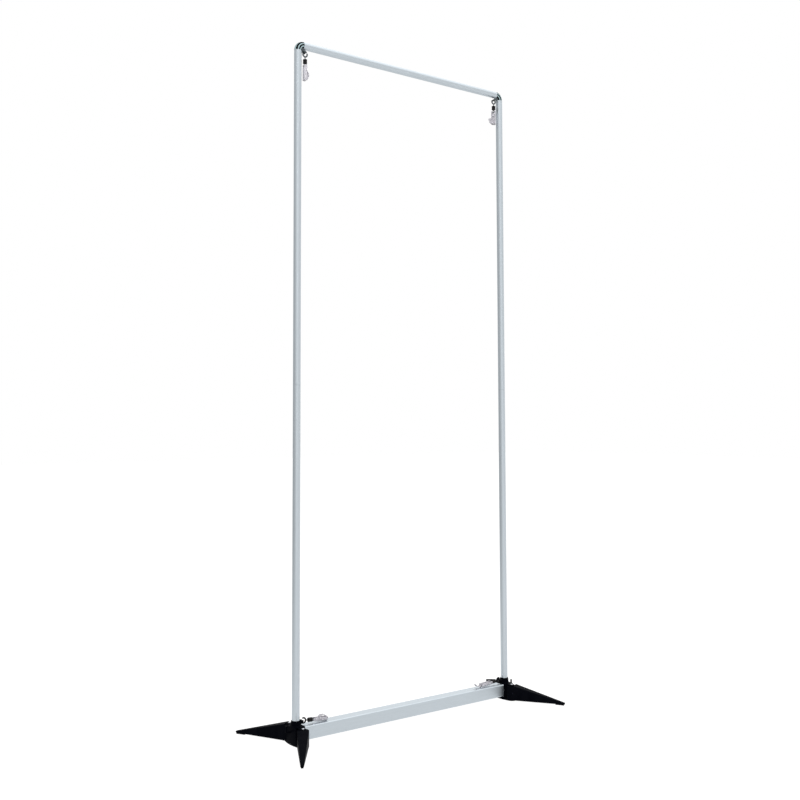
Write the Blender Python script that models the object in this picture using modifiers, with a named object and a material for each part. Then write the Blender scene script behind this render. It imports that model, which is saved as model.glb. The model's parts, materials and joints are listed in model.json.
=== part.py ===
"""Banner display frame: a tube frame on two three-armed feet, with a swivelling clip in each corner.

Metres, +Z up. The origin is on the floor midway between the posts, and +X runs along the frame.
"""
import math

import bmesh
import bpy
from mathutils import Matrix, Vector

# Driving dimensions of the frame
TUBE_RADIUS = 0.011
TUBE_WALL = 0.0012
POST_SPACING = 0.790
TOP_AXIS_Z = 2.008
SEAM_Z = 1.009
BEND_RADIUS = 0.0165
BAR_SIZE = 0.038
BAR_WALL = 0.0015
BAR_CORNER = 0.003
BAR_BOTTOM_Z = 0.0100
BAR_END_X = 0.020
JOINER_HALF_LENGTH = 0.060
JOINER_WALL = 0.0016
SPIGOT_LENGTH = 0.036
SPIGOT_RIBS = 2
GROOVE_PITCH = 0.0075
GROOVE_WIDTH = 0.0042
GROOVE_CORE = 0.004

# Driving dimensions of the feet; x runs from the post towards the bottom bar
PLATE_TOP_Z = 0.0027
SOLE_Z = 0.003
KNUCKLE_TOP_Z = 0.0454
HUB_TOP_Z = 0.0495
COLLAR_TOP_Z = 0.065
COLLAR_RADIUS = 0.014
COLUMN_RADIUS = 0.0165
SOCKET_FLOOR_Z = 0.0247
LEG_MEET_X = 0.025
LEG_ANGLE = math.radians(58.4)
LEG_HINGE = 0.044
LEG_ROOT = 0.050
LEG_FULL_HEIGHT = 0.0535
LEG_TIP = 0.219
LEG_ROOT_HALF_WIDTH = 0.017
LEG_TIP_HALF_WIDTH = 0.0047
LEG_ROOT_HEIGHT = 0.047
LEG_TIP_HEIGHT = 0.005
LEG_WALL = 0.0026
LEG_CELLS = 5
CELLS_START = 0.060
CELLS_END = 0.183
LUG_RADIUS = 0.009
LUG_LOW_Z = 0.0458
LUG_HIGH_Z = 0.0492
HINGE_PIN_RADIUS = 0.0025
HINGE_HEAD_RADIUS = 0.0040
HINGE_HEAD_HEIGHT = 0.0024
PAD_START = 0.1885
PAD_END = 0.2165
PAD_HALF_WIDTH = 0.0036
PAD_TOP_Z = 0.0045
PLUG_END_X = 0.062
PLUG_WALL = 0.0028
GUY_HOOK_RADIUS = 0.0028

# Driving dimensions of a clip chain; z runs down from the hook pin
HOOK_PIN_X = 0.0245
HOOK_PIN_DROP = 0.0194
HUB_PIN_X = 0.0205
HUB_PIN_Z = 0.0605
PIN_RADIUS = 0.0015
PIN_HALF_LENGTH = 0.0066
CHEEK_INNER = 0.0036
CHEEK_OUTER = 0.0060
CHEEK_RADIUS = 0.0028
HOOK_RADIUS = 0.0079
HOOK_WIRE = 0.0015
BARREL_TOP = 0.0215
BARREL_LENGTH = 0.0115
BARREL_RADIUS = 0.0055
BARREL_LIP = 0.0018
STEM_RADIUS = 0.0014
STEM_HEAD_RADIUS = 0.0030
STEM_HEAD_HEIGHT = 0.0018
EYE_RADIUS = 0.0040
EYE_WIRE = 0.0010
CLIP_PIN_DROP = 0.0408
CLIP_PIN_RADIUS = 0.0011
CLIP_LENGTH = 0.0465
CLIP_HEAD = 0.0045
CLIP_RADIUS = 0.007
CLIP_WALL = 0.0015
CLIP_SIDE = 0.004
RIVET_AT = 0.0135
JAW_START = 0.024
JAW_END = 0.0385
JAW_TOP_N = -0.001
JAW_TEETH = 3
LEVER_PIN_S = 0.0395
LEVER_PIN_N = 0.002
LEVER_THICKNESS = 0.0016
LEVER_RISE = 0.005
LEVER_HALF_WIDTH = 0.0054
LEVER_NECK_HALF_WIDTH = 0.0047
LEVER_SHOULDER = 0.0085
LEVER_CORNER = 0.0025
LEVER_HALF_OPEN = math.radians(50)
LEVER_OPEN = math.radians(160)
TOP_RIGHT_TURN = math.radians(15)

GAP = 0.0003
MERGE = 0.00001
ROUND_STEPS = 24
ABOVE_ALL = 0.08

# Worked out from the above
POST_X = POST_SPACING / 2
ELBOW_FACE_Z = TOP_AXIS_Z - BEND_RADIUS
BAR_MID_Z = BAR_BOTTOM_Z + BAR_SIZE / 2
BAR_TOP_Z = BAR_BOTTOM_Z + BAR_SIZE
TUBE_BORE = TUBE_RADIUS - TUBE_WALL
CLIP_END = CLIP_LENGTH - CLIP_HEAD
CHAIN_REACH = CLIP_PIN_DROP + CLIP_END
CHAIN_TILT = math.asin((HUB_PIN_Z - BAR_TOP_Z - CLIP_RADIUS - GAP) / CHAIN_REACH)


def clear_scene():
    for item in list(bpy.data.objects):
        bpy.data.objects.remove(item, do_unlink=True)


def new_collection(name):
    group = bpy.data.collections.new(name)
    bpy.context.scene.collection.children.link(group)
    return group


def channel_to_linear(value):
    return value / 12.92 if value <= 0.04045 else ((value + 0.055) / 1.055) ** 2.4


def make_material(name, colour, roughness, metallic=0.0, transmission=0.0):
    material = bpy.data.materials.new(name)
    material.use_nodes = True
    shader = material.node_tree.nodes["Principled BSDF"]
    levels = [channel_to_linear(int(colour[i:i + 2], 16) / 255) for i in (1, 3, 5)]
    shader.inputs["Base Color"].default_value = (*levels, 1.0)
    shader.inputs["Roughness"].default_value = roughness
    shader.inputs["Metallic"].default_value = metallic
    shader.inputs["Transmission Weight"].default_value = transmission
    return material


def link(item, group):
    group.objects.link(item)
    return item


def mesh_object(name, bm):
    mesh = bpy.data.meshes.new(name)
    bm.to_mesh(mesh)
    bm.free()
    return link(bpy.data.objects.new(name, mesh), WORKSHOP)


def bake(item):
    """The evaluated mesh of a working object, in its own space; the working object goes."""
    bpy.context.view_layer.update()
    graph = bpy.context.evaluated_depsgraph_get()
    mesh = bpy.data.meshes.new_from_object(item.evaluated_get(graph))
    mesh.transform(item.matrix_world)
    bpy.data.objects.remove(item, do_unlink=True)
    return mesh


def bake_object(item):
    """A working object whose curve or modifiers have become a plain welded mesh."""
    name = item.name
    bm = bmesh.new()
    bm.from_mesh(bake(item))
    bmesh.ops.remove_doubles(bm, verts=bm.verts, dist=MERGE)
    bmesh.ops.recalc_face_normals(bm, faces=bm.faces)
    return mesh_object(name, bm)


def combine(body, tool, operation):
    change = body.modifiers.new(operation.lower(), "BOOLEAN")
    change.operation = operation
    change.object = tool
    change.solver = "EXACT"
    result = bake_object(body)
    bpy.data.objects.remove(tool, do_unlink=True)
    return result


def join(body, *tools):
    for tool in tools:
        body = combine(body, tool, "UNION")
    return body


def cut(body, *tools):
    for tool in tools:
        body = combine(body, tool, "DIFFERENCE")
    return body


def box(name, low, high):
    bm = bmesh.new()
    bmesh.ops.create_cube(bm, size=1.0)
    low, high = Vector(low), Vector(high)
    bmesh.ops.scale(bm, vec=high - low, verts=bm.verts)
    bmesh.ops.translate(bm, vec=(low + high) / 2, verts=bm.verts)
    return mesh_object(name, bm)


def rounded(item, width, segments=1, angle=35):
    edge = item.modifiers.new("rounded edges", "BEVEL")
    edge.width = width
    edge.segments = segments
    edge.limit_method = "ANGLE"
    edge.angle_limit = math.radians(angle)
    return bake_object(item)


def turned(name, profile, steps=ROUND_STEPS, closed=False):
    """A profile of (radius, z) points, top to bottom down its outer side, turned about Z."""
    bm = bmesh.new()
    points = [bm.verts.new((radius, 0, z)) for radius, z in profile]
    for start, end in zip(points, points[1:]):
        bm.edges.new((start, end))
    if closed:
        bm.edges.new((points[-1], points[0]))
    item = mesh_object(name, bm)
    lathe = item.modifiers.new("turned", "SCREW")
    lathe.axis = "Z"
    lathe.angle = math.tau
    lathe.steps = steps
    lathe.render_steps = steps
    lathe.use_merge_vertices = True
    lathe.merge_threshold = MERGE
    lathe.use_smooth_shade = False
    return bake_object(item)


def rod(name, radius, low, high, steps=16):
    """A round rod along Z."""
    return turned(name, [(0, high), (radius, high), (radius, low), (0, low)], steps)


def outline_solid(name, loops, low, high):
    """Flat outlines in x and y, the later ones holes, made solid from z low to high."""
    curve = bpy.data.curves.new(name, "CURVE")
    curve.dimensions = "2D"
    curve.fill_mode = "BOTH"
    curve.extrude = (high - low) / 2
    for loop in loops:
        spline = curve.splines.new("POLY")
        spline.points.add(len(loop) - 1)
        for point, (x, y) in zip(spline.points, loop):
            point.co = (x, y, 0, 1)
        spline.use_cyclic_u = True
    item = link(bpy.data.objects.new(name, curve), WORKSHOP)
    item.location.z = (low + high) / 2
    return bake_object(item)


def wire(name, points, radius, resolution=2, closed=False):
    """A round wire through points, with filled ends."""
    curve = bpy.data.curves.new(name, "CURVE")
    curve.dimensions = "3D"
    curve.bevel_depth = radius
    curve.bevel_resolution = resolution
    curve.use_fill_caps = True
    spline = curve.splines.new("POLY")
    spline.points.add(len(points) - 1)
    for point, place in zip(spline.points, points):
        point.co = (*place, 1)
    spline.use_cyclic_u = closed
    return bake_object(link(bpy.data.objects.new(name, curve), WORKSHOP))


def placed(item, matrix):
    """The same working object with a placement worked into its mesh."""
    item.data.transform(matrix)
    return item


def arc(centre, radius, start, end, steps):
    """Points of an arc in degrees, both ends included."""
    angles = [math.radians(start + (end - start) * i / steps) for i in range(steps + 1)]
    return [(centre[0] + radius * math.cos(a), centre[1] + radius * math.sin(a)) for a in angles]


def bulged(start, end, rise, steps):
    """Points from start to end on an arc that stands rise to the right of the straight line."""
    start, end = Vector(start), Vector(end)
    chord = end - start
    half = chord.length / 2
    radius = (half * half + rise * rise) / (2 * rise)
    side = Vector((chord.y, -chord.x)).normalized()
    centre = (start + end) / 2 - side * (radius - rise)
    turn = math.asin(half / radius)
    points = []
    for i in range(steps + 1):
        angle = turn * (2 * i / steps - 1)
        spot = centre + side * radius * math.cos(angle) + chord.normalized() * radius * math.sin(angle)
        points.append((spot.x, spot.y))
    return points


def finish(item, sharp=35):
    """The shaded mesh of a finished working object."""
    mesh = bake(item)
    mesh.shade_smooth()
    mesh.set_sharp_from_angle(angle=math.radians(sharp))
    return mesh


def add_piece(name, mesh, material, parent=None, location=(0, 0, 0), turn_z=0.0):
    if not mesh.materials:
        mesh.materials.append(material)
    piece = link(bpy.data.objects.new(name, mesh), PARTS)
    piece.location = location
    piece.rotation_euler = (0, 0, turn_z)
    piece.parent = parent
    return piece


def add_empty(name, parent=None, location=(0, 0, 0), rotation=(0, 0, 0)):
    empty = link(bpy.data.objects.new(name, None), PARTS)
    empty.empty_display_size = 0.01
    empty.location = location
    empty.rotation_euler = rotation
    empty.parent = parent
    return empty


def tube_mesh(name, length):
    """A round tube standing from z 0, sawn square."""
    profile = [(TUBE_RADIUS, length), (TUBE_RADIUS, 0), (TUBE_BORE, 0), (TUBE_BORE, length)]
    return finish(turned(name, profile, closed=True))


def joiner_mesh():
    """The sleeve that joins two post sections from inside."""
    outer, half = TUBE_BORE - GAP, JOINER_HALF_LENGTH
    inner = outer - JOINER_WALL
    profile = [(outer, half), (outer, -half), (inner, -half), (inner, half)]
    return finish(turned("joiner", profile, closed=True))


def bottom_bar_mesh():
    """A square tube with rounded corners, along X."""
    length = POST_SPACING - 2 * BAR_END_X

    def square(size, corner):
        reach = size / 2 - corner
        points = []
        for x, y, start in ((1, 1, 0), (-1, 1, 90), (-1, -1, 180), (1, -1, 270)):
            points += arc((x * reach, y * reach), corner, start, start + 90, 4)
        return points

    loops = [square(BAR_SIZE, BAR_CORNER), square(BAR_SIZE - 2 * BAR_WALL, BAR_CORNER - BAR_WALL)]
    bar = outline_solid("bottom bar", loops, -length / 2, length / 2)
    return finish(placed(bar, Matrix.Rotation(math.pi / 2, 4, "Y")))


def ribbed_section():
    """Half the elbow's section as (distance from the bend's centre, y): a circle with three grooves."""
    points = []
    for step in (1, 0, -1):
        middle = BEND_RADIUS + step * GROOVE_PITCH
        for edge in (middle + GROOVE_WIDTH / 2, middle - GROOVE_WIDTH / 2):
            skin = math.sqrt(TUBE_RADIUS ** 2 - (edge - BEND_RADIUS) ** 2)
            pair = [(edge, skin), (edge, GROOVE_CORE)]
            points += pair if edge > middle else pair[::-1]
    return points


def elbow_section():
    """The whole closed section, with the round parts between the grooves filled in."""
    half = ribbed_section()
    full = []
    previous = (BEND_RADIUS + TUBE_RADIUS, 0.0)
    ends = half + [(BEND_RADIUS - TUBE_RADIUS, 0.0)]
    for place in ends:
        on_skin = [abs(math.hypot(r - BEND_RADIUS, y) - TUBE_RADIUS) < MERGE for r, y in (previous, place)]
        if all(on_skin):
            start = math.atan2(previous[1], previous[0] - BEND_RADIUS)
            end = math.atan2(place[1], place[0] - BEND_RADIUS)
            full += arc((BEND_RADIUS, 0), TUBE_RADIUS, math.degrees(start), math.degrees(end), 2)[:-1]
        else:
            full.append(previous)
        previous = place
    full.append(previous)
    mirrored = [(r, -y) for r, y in reversed(full[1:-1])]
    return full + mirrored


def spigot(name, length):
    """A barbed spigot along Z that plugs into a tube, up to z 0 with its root above."""
    rib = TUBE_BORE - GAP
    core = rib - 0.0008
    root, first, lead_in = 0.005, -0.004, 0.002
    rise, crest, fall = 0.001, 0.006, 0.008
    profile = [(0, root), (core, root)]
    pitch = length / (SPIGOT_RIBS + 0.5)
    for i in range(SPIGOT_RIBS):
        top = first - i * pitch
        profile += [(core, top), (rib, top - rise), (rib, top - crest), (core, top - fall)]
    profile += [(core, lead_in - length), (core - lead_in, -length), (0, -length)]
    return turned(name, profile, 12)


def strap(name, start, end, radius, y_low, y_high):
    """A flat link with round ends between two (x, z) places, lying between two y values."""
    start, end = Vector(start), Vector(end)
    along = math.degrees(math.atan2(end.y - start.y, end.x - start.x))
    points = arc(end, radius, along - 90, along + 90, 6) + arc(start, radius, along + 90, along + 270, 6)
    link_body = outline_solid(name, [points], -y_high, -y_low)
    return placed(link_body, Matrix.Rotation(math.pi / 2, 4, "X"))


def cross_hole(name, radius, x, z, reach=0.01):
    """A cutter along Y at (x, z)."""
    hole = rod(name, radius, -reach, reach, 8)
    return placed(hole, Matrix.Translation((x, 0, z)) @ Matrix.Rotation(math.pi / 2, 4, "X"))


def add_pin_cheeks(body, start, pin):
    """Two cheeks on a body that hold the pin for a hook, with the hook's wire between them."""
    for low, high in ((CHEEK_INNER, CHEEK_OUTER), (-CHEEK_OUTER, -CHEEK_INNER)):
        body = join(body, strap("cheek", start, pin, CHEEK_RADIUS, low, high))
    return cut(body, cross_hole("pin hole", PIN_RADIUS + GAP, *pin))


def elbow_mesh():
    """The corner piece: a grooved quarter bend with a spigot for each tube and cheeks for the hook.

    Its origin is the bend's centre; the bar leaves towards +X and the post towards -Z.
    """
    bm = bmesh.new()
    ring = [bm.verts.new((0, y, r)) for r, y in elbow_section()]
    bm.faces.new(ring)
    bmesh.ops.spin(
        bm, geom=bm.verts[:] + bm.edges[:] + bm.faces[:], cent=(0, 0, 0), axis=(0, 1, 0),
        angle=-math.pi / 2, steps=6, use_duplicate=False)
    bmesh.ops.remove_doubles(bm, verts=bm.verts, dist=MERGE)
    bmesh.ops.recalc_face_normals(bm, faces=bm.faces)
    bend = mesh_object("elbow", bm)
    post_spigot = placed(spigot("post spigot", SPIGOT_LENGTH), Matrix.Translation((-BEND_RADIUS, 0, 0)))
    to_bar = Matrix.Translation((0, 0, BEND_RADIUS)) @ Matrix.Rotation(-math.pi / 2, 4, "Y")
    bar_spigot = placed(spigot("bar spigot", SPIGOT_LENGTH), to_bar)
    bend = join(bend, post_spigot, bar_spigot)
    pin = (HOOK_PIN_X - BEND_RADIUS, BEND_RADIUS - HOOK_PIN_DROP)
    inside_bend = (-0.0062, 0.0062)
    bend = add_pin_cheeks(bend, inside_bend, pin)
    return finish(bend)


def leg_side(distance, offset):
    """A place beside a front leg's centre line, in the foot's x and y."""
    along = Vector((-math.cos(LEG_ANGLE), -math.sin(LEG_ANGLE)))
    outwards = Vector((-math.sin(LEG_ANGLE), math.cos(LEG_ANGLE)))
    return Vector((LEG_MEET_X, 0)) + along * distance + outwards * offset


def leg_frame(side):
    """Placement of a leg in its foot: x along the leg from where the two legs meet, side -1 in front."""
    turn = math.pi + side * -LEG_ANGLE
    return Matrix.Translation((LEG_MEET_X, 0, 0)) @ Matrix.Rotation(turn, 4, "Z")


def hinge_place(side):
    """The leg hinge in the foot's x and y, side -1 in front."""
    place = leg_side(LEG_HINGE, 0)
    return (place.x, side * abs(place.y))


def mirrored(points):
    """The same outline points on the other side of the bar, in the order that carries on the loop."""
    return [(x, -y) for x, y in reversed(points)]


def sole_outline():
    """The plate that the foot stands on: a lobe under each leg hinge and a nose under the bar."""
    nose, lobe_radius, nose_bow, outer_bow = (0.0216, -0.0087), 0.014, 0.0016, 0.0062
    lobe = arc(hinge_place(-1), lobe_radius, 200, 330, 6)
    front = lobe + bulged(lobe[-1], nose, nose_bow, 3)[1:]
    loop = front + mirrored(front)
    return loop + bulged(loop[-1], loop[0], outer_bow, 6)[1:-1]


def block_outline():
    """The block round the post, from its bowed outer wall to the nose under the bar."""
    outer, nose, outer_bow = (-0.0150, -0.027), (0.0240, -0.0170), 0.0018
    front = [outer, nose]
    loop = front + mirrored(front)
    return loop + bulged(loop[-1], loop[0], outer_bow, 4)[1:-1]


def leg_sweep(side):
    """Cutters for the room that a leg needs as it folds from its working place to along the bar."""
    clear, lap, reach = 0.0005, 0.0002, 0.06
    x, y = hinge_place(side)
    half = LEG_ROOT_HALF_WIDTH + clear
    high_reach = math.hypot(LEG_FULL_HEIGHT - LEG_HINGE, LEG_ROOT_HALF_WIDTH) + clear
    at_hinge = Matrix.Translation((x, y, 0))
    knuckle_room = rod("knuckle room", half, PLATE_TOP_Z, KNUCKLE_TOP_Z + lap, ROUND_STEPS)
    knuckle_room = placed(knuckle_room, at_hinge)
    upper_room = rod("upper room", high_reach, KNUCKLE_TOP_Z - lap, ABOVE_ALL, ROUND_STEPS)
    upper_room = placed(upper_room, at_hinge)
    working = box("working room", (LEG_HINGE, -half, PLATE_TOP_Z), (LEG_HINGE + reach, half, ABOVE_ALL))
    working = placed(working, leg_frame(side))
    folded = box("folded room", (x, y - half, PLATE_TOP_Z), (x + reach, y + half, ABOVE_ALL))
    return knuckle_room, upper_room, working, folded


def hinge_lug(side):
    """The ear over a leg's knuckle, with its neck back to the block."""
    neck, root = 0.0075, 0.014
    x, y = hinge_place(-1)
    points = arc((x, y), LUG_RADIUS, 190, 350, 8) + [(x + neck, -root), (x - neck, -root)]
    if side > 0:
        points = mirrored(points)
    return rounded(outline_solid("hinge lug", [points], LUG_LOW_Z, LUG_HIGH_Z), 0.0006)


def collar():
    """The socket's collar on the block's shoulder, down to the sole plate."""
    chamfer_z, lip, foot, shoulder = COLLAR_TOP_Z - 0.005, 0.0017, 0.001, 0.003
    return turned("collar", [
        (0, COLLAR_TOP_Z), (TUBE_RADIUS + lip, COLLAR_TOP_Z),
        (COLLAR_RADIUS, chamfer_z), (COLLAR_RADIUS, HUB_TOP_Z + shoulder),
        (COLUMN_RADIUS, HUB_TOP_Z), (COLUMN_RADIUS, foot), (0, foot),
    ])


def bar_plug():
    """The hollow square plug, with its web, that the bottom bar slides over."""
    side = BAR_SIZE / 2 - BAR_WALL - GAP
    hollow, start, web_start, web_half, lap = side - PLUG_WALL, 0.026, 0.0255, 0.0013, 0.001
    body = box("bar plug", (BAR_END_X - 0.004, -side, BAR_MID_Z - side), (PLUG_END_X, side, BAR_MID_Z + side))
    pocket = box("plug hollow", (start, -hollow, BAR_MID_Z - hollow), (ABOVE_ALL, hollow, BAR_MID_Z + hollow))
    web = box("plug web", (web_start, -web_half, BAR_MID_Z - side + lap),
              (PLUG_END_X - 0.004, web_half, BAR_MID_Z + side - lap))
    return join(cut(rounded(body, 0.0015), pocket), web)


def hub_mesh():
    """The foot's hub: post socket, bar plug, sole plate and a hinge for each leg."""
    block_foot = 0.0004
    hub = rounded(outline_solid("hub", [block_outline()], block_foot, HUB_TOP_Z), 0.0016)
    for side in (-1, 1):
        hub = cut(hub, *leg_sweep(side))
        hub = join(hub, hinge_lug(side))
    sole = rounded(outline_solid("sole plate", [sole_outline()], 0, PLATE_TOP_Z), 0.0005)
    hub = join(hub, sole, collar())
    half = BAR_SIZE / 2 + GAP
    notch = box("bar notch", (BAR_END_X - GAP, -half, BAR_BOTTOM_Z - GAP), (ABOVE_ALL, half, ABOVE_ALL))
    hub = join(cut(hub, notch), bar_plug())
    hub = cut(hub, rod("post socket", TUBE_RADIUS + GAP, SOCKET_FLOOR_Z, ABOVE_ALL, ROUND_STEPS))
    for side in (-1, 1):
        hole = rod("hinge hole", HINGE_PIN_RADIUS + GAP, -ABOVE_ALL, ABOVE_ALL, 12)
        hub = cut(hub, placed(hole, Matrix.Translation((*hinge_place(side), 0))))
    hub = join(hub, guy_hook())
    for low, high in ((CHEEK_INNER, CHEEK_OUTER), (-CHEEK_OUTER, -CHEEK_INNER)):
        hub = join(hub, gusset(low, high))
    return finish(cut(hub, cross_hole("pin hole", PIN_RADIUS + GAP, HUB_PIN_X, HUB_PIN_Z)))


def gusset(y_low, y_high):
    """A cheek that stands out from the collar and holds the lower hook's pin."""
    root_x, root_z = TUBE_RADIUS + 0.0006, HUB_TOP_Z + 0.001
    nose = arc((HUB_PIN_X, HUB_PIN_Z), CHEEK_RADIUS, -60, 90, 5)
    points = [(root_x, root_z)] + nose + [(root_x, HUB_PIN_Z + CHEEK_RADIUS)]
    plate = outline_solid("gusset", [points], -y_high, -y_low)
    return placed(plate, Matrix.Rotation(math.pi / 2, 4, "X"))


def guy_hook():
    """The upturned hook on the hub's outer wall."""
    wall_x, reach_x, low_z, tip_z, bend = -0.0138, -0.0305, 0.0365, 0.0535, 0.004
    points = [(wall_x, 0, low_z), (reach_x + bend, 0, low_z)]
    points += [(x, 0, z) for x, z in arc((reach_x + bend, low_z + bend), bend, 270, 180, 4)][1:]
    points += [(reach_x, 0, tip_z)]
    return wire("guy hook", points, GUY_HOOK_RADIUS, 1)


def leg_width(distance):
    share = (distance - LEG_ROOT) / (LEG_TIP - LEG_ROOT)
    return LEG_ROOT_HALF_WIDTH + share * (LEG_TIP_HALF_WIDTH - LEG_ROOT_HALF_WIDTH)


def leg_height(distance):
    share = (distance - LEG_ROOT) / (LEG_TIP - LEG_ROOT)
    return LEG_ROOT_HEIGHT + share * (LEG_TIP_HEIGHT - LEG_ROOT_HEIGHT)


def wedge(name, start, end, inset, bottom):
    """A length of the leg's tapering form, taken in all round by inset."""
    item = box(name, (start, -1, 0), (end, 1, 1))
    for vert in item.data.vertices:
        at = start if vert.co.x < (start + end) / 2 else end
        vert.co.y *= leg_width(at) - inset
        vert.co.z = bottom if vert.co.z < 0.5 else SOLE_Z + leg_height(at) - inset
    return item


def leg_mesh():
    """A leg: a hollow wedge, open underneath and cross-ribbed, with a round knuckle on its hinge.

    Its origin is on the hinge's axis, and it points towards +X.
    """
    leg = rounded(wedge("leg", LEG_FULL_HEIGHT, LEG_TIP, 0, SOLE_Z), 0.0016)
    half, lap, rib = LEG_ROOT_HALF_WIDTH, 0.003, 0.002
    knuckle = arc((LEG_HINGE, 0), half, 90, 270, 12)
    knuckle += [(LEG_FULL_HEIGHT + lap, -half), (LEG_FULL_HEIGHT + lap, half)]
    leg = join(leg, rounded(outline_solid("knuckle", [knuckle], SOLE_Z + 0.0002, KNUCKLE_TOP_Z), 0.0008))
    pitch = (CELLS_END - CELLS_START) / LEG_CELLS
    for i in range(LEG_CELLS):
        start = CELLS_START + i * pitch
        leg = cut(leg, wedge("leg cell", start, start + pitch - rib, LEG_WALL, -0.01))
    side = PAD_HALF_WIDTH + GAP
    recess = box("pad recess", (PAD_START - GAP, -side, -0.01), (PAD_END + GAP, side, PAD_TOP_Z + GAP))
    hole = rod("hinge hole", HINGE_PIN_RADIUS + GAP, -ABOVE_ALL, ABOVE_ALL, 12)
    leg = cut(leg, recess, placed(hole, Matrix.Translation((LEG_HINGE, 0, 0))))
    return finish(placed(leg, Matrix.Translation((-LEG_HINGE, 0, 0))))


def pad_mesh():
    """The rubber pad let into the underside of a leg's tip."""
    pad = rounded(box("pad", (PAD_START, -PAD_HALF_WIDTH, 0), (PAD_END, PAD_HALF_WIDTH, PAD_TOP_Z)), 0.0004)
    return finish(placed(pad, Matrix.Translation((-LEG_HINGE, 0, 0))))


def hinge_pin_mesh():
    """A leg's hinge pin: a domed head on the hub's ear and a plain shank down to the sole plate."""
    head, height, shank, foot = HINGE_HEAD_RADIUS, HINGE_HEAD_HEIGHT, HINGE_PIN_RADIUS, 0.0006
    seat, lead_in = LUG_HIGH_Z + GAP, 0.0006
    top = seat + height
    dome = [(0, top), (head * 0.45, top - height / 8), (head * 0.8, top - height * 3 / 8),
            (head, top - height * 3 / 4)]
    profile = dome + [(head, seat), (shank, seat), (shank, foot + lead_in)]
    profile += [(shank - lead_in, foot), (0, foot)]
    return finish(turned("hinge pin", profile, 12))


def foot_frames():
    """Placements of the left and right foot; each has its x towards the bar."""
    left = Matrix.Translation((-POST_X, 0, 0))
    right = Matrix.Translation((POST_X, 0, 0)) @ Matrix.Rotation(math.pi, 4, "Z")
    return left, right


def pin_mesh(name, radius, half_length, steps=10):
    """A plain pin along Y."""
    return placed(rod(name, radius, -half_length, half_length, steps), Matrix.Rotation(math.pi / 2, 4, "X"))


def hook_mesh():
    """The open ring that hangs on the pin, with the headed stem that turns in the barrel."""
    centre_z = -(HOOK_RADIUS - HOOK_WIRE - PIN_RADIUS - GAP)
    ring = [(x, 0, z) for x, z in arc((0, centre_z), HOOK_RADIUS, 80, 395, 18)]
    hook = wire("hook", ring, HOOK_WIRE)
    neck_z, neck_radius = centre_z - HOOK_RADIUS, 0.0022
    top_of_head = -(BARREL_TOP + BARREL_LIP + GAP)
    profile = [(0, neck_z + 0.0006), (neck_radius, neck_z - 0.0002), (STEM_RADIUS, neck_z - 0.0026),
               (STEM_RADIUS, top_of_head), (STEM_HEAD_RADIUS, top_of_head),
               (STEM_HEAD_RADIUS, top_of_head - STEM_HEAD_HEIGHT), (0, top_of_head - STEM_HEAD_HEIGHT)]
    return finish(join(hook, turned("stem", profile, 8)))


def barrel_mesh():
    """The swivel's barrel: a banded sleeve, bored for the heads of both stems."""
    top, bottom = -BARREL_TOP, -(BARREL_TOP + BARREL_LENGTH)
    middle = (top + bottom) / 2
    wide, narrow, lip = BARREL_RADIUS, BARREL_RADIUS - 0.0008, BARREL_LIP
    hole, cavity, band, edge = STEM_RADIUS + 0.0004, STEM_HEAD_RADIUS + 0.0004, 0.0010, 0.0009
    profile = [
        (hole, top), (wide - edge, top), (wide, top - edge), (wide, middle + band),
        (narrow, middle), (wide, middle - band), (wide, bottom + edge), (wide - edge, bottom),
        (hole, bottom), (hole, bottom + lip), (cavity, bottom + lip), (cavity, top - lip), (hole, top - lip),
    ]
    return finish(turned("barrel", profile, 12, closed=True))


def eye_mesh():
    """The swivel's lower eye, with its headed stem up in the barrel."""
    bottom = -(BARREL_TOP + BARREL_LENGTH)
    centre_z = -(CLIP_PIN_DROP - (EYE_RADIUS - EYE_WIRE - CLIP_PIN_RADIUS - GAP))
    ring = [(x, 0, z) for x, z in arc((0, centre_z), EYE_RADIUS, 0, 360 - 360 / 14, 13)]
    eye = wire("eye", ring, EYE_WIRE, 1, closed=True)
    head_low = bottom + BARREL_LIP + GAP
    head_top, foot = head_low + STEM_HEAD_HEIGHT, centre_z + EYE_RADIUS - 0.0004
    profile = [(0, head_top), (STEM_HEAD_RADIUS, head_top), (STEM_HEAD_RADIUS, head_low),
               (STEM_RADIUS, head_low), (STEM_RADIUS, foot), (0, foot)]
    return finish(join(eye, turned("eye stem", profile, 8)))


def clip_mesh():
    """The clip's body: a round-backed trough with a toothed jaw, cheeks for the eye and three pin holes.

    The eye pin is at the origin, the trough runs down -Z and its open side faces +X.
    """
    inner = CLIP_RADIUS - CLIP_WALL
    back = arc((0, 0), CLIP_RADIUS, 90, 270, 8)
    hollow = arc((0, 0), inner, 270, 90, 6)
    section = [(CLIP_SIDE, CLIP_RADIUS)] + back + [(CLIP_SIDE, -CLIP_RADIUS)]
    section += [(CLIP_SIDE, -inner)] + hollow + [(CLIP_SIDE, inner)]
    body = outline_solid("clip", [section], -CLIP_END, CLIP_HEAD)
    side, below, beyond = inner - 0.001, -0.003, 0.02
    body = cut(body, box("eye clearance", (-beyond, -side, below), (beyond, side, beyond)))
    body = join(body, toothed_jaw(inner))
    for x, z in ((0, 0), (0, -RIVET_AT), (LEVER_PIN_N, -LEVER_PIN_S)):
        body = cut(body, cross_hole("clip pin hole", CLIP_PIN_RADIUS + GAP, x, z))
    half = 0.0035
    for z, offset, rise in ((CLIP_HEAD, 0.0026, 0.0016), (-CLIP_END, 0.0034, -0.0020)):
        corner = box("corner", (-half, -0.01, -half), (half, 0.01, half))
        place = Matrix.Translation((CLIP_SIDE + offset, 0, z + rise)) @ Matrix.Rotation(math.pi / 4, 4, "Y")
        body = cut(body, placed(corner, place))
    return finish(body)


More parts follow.
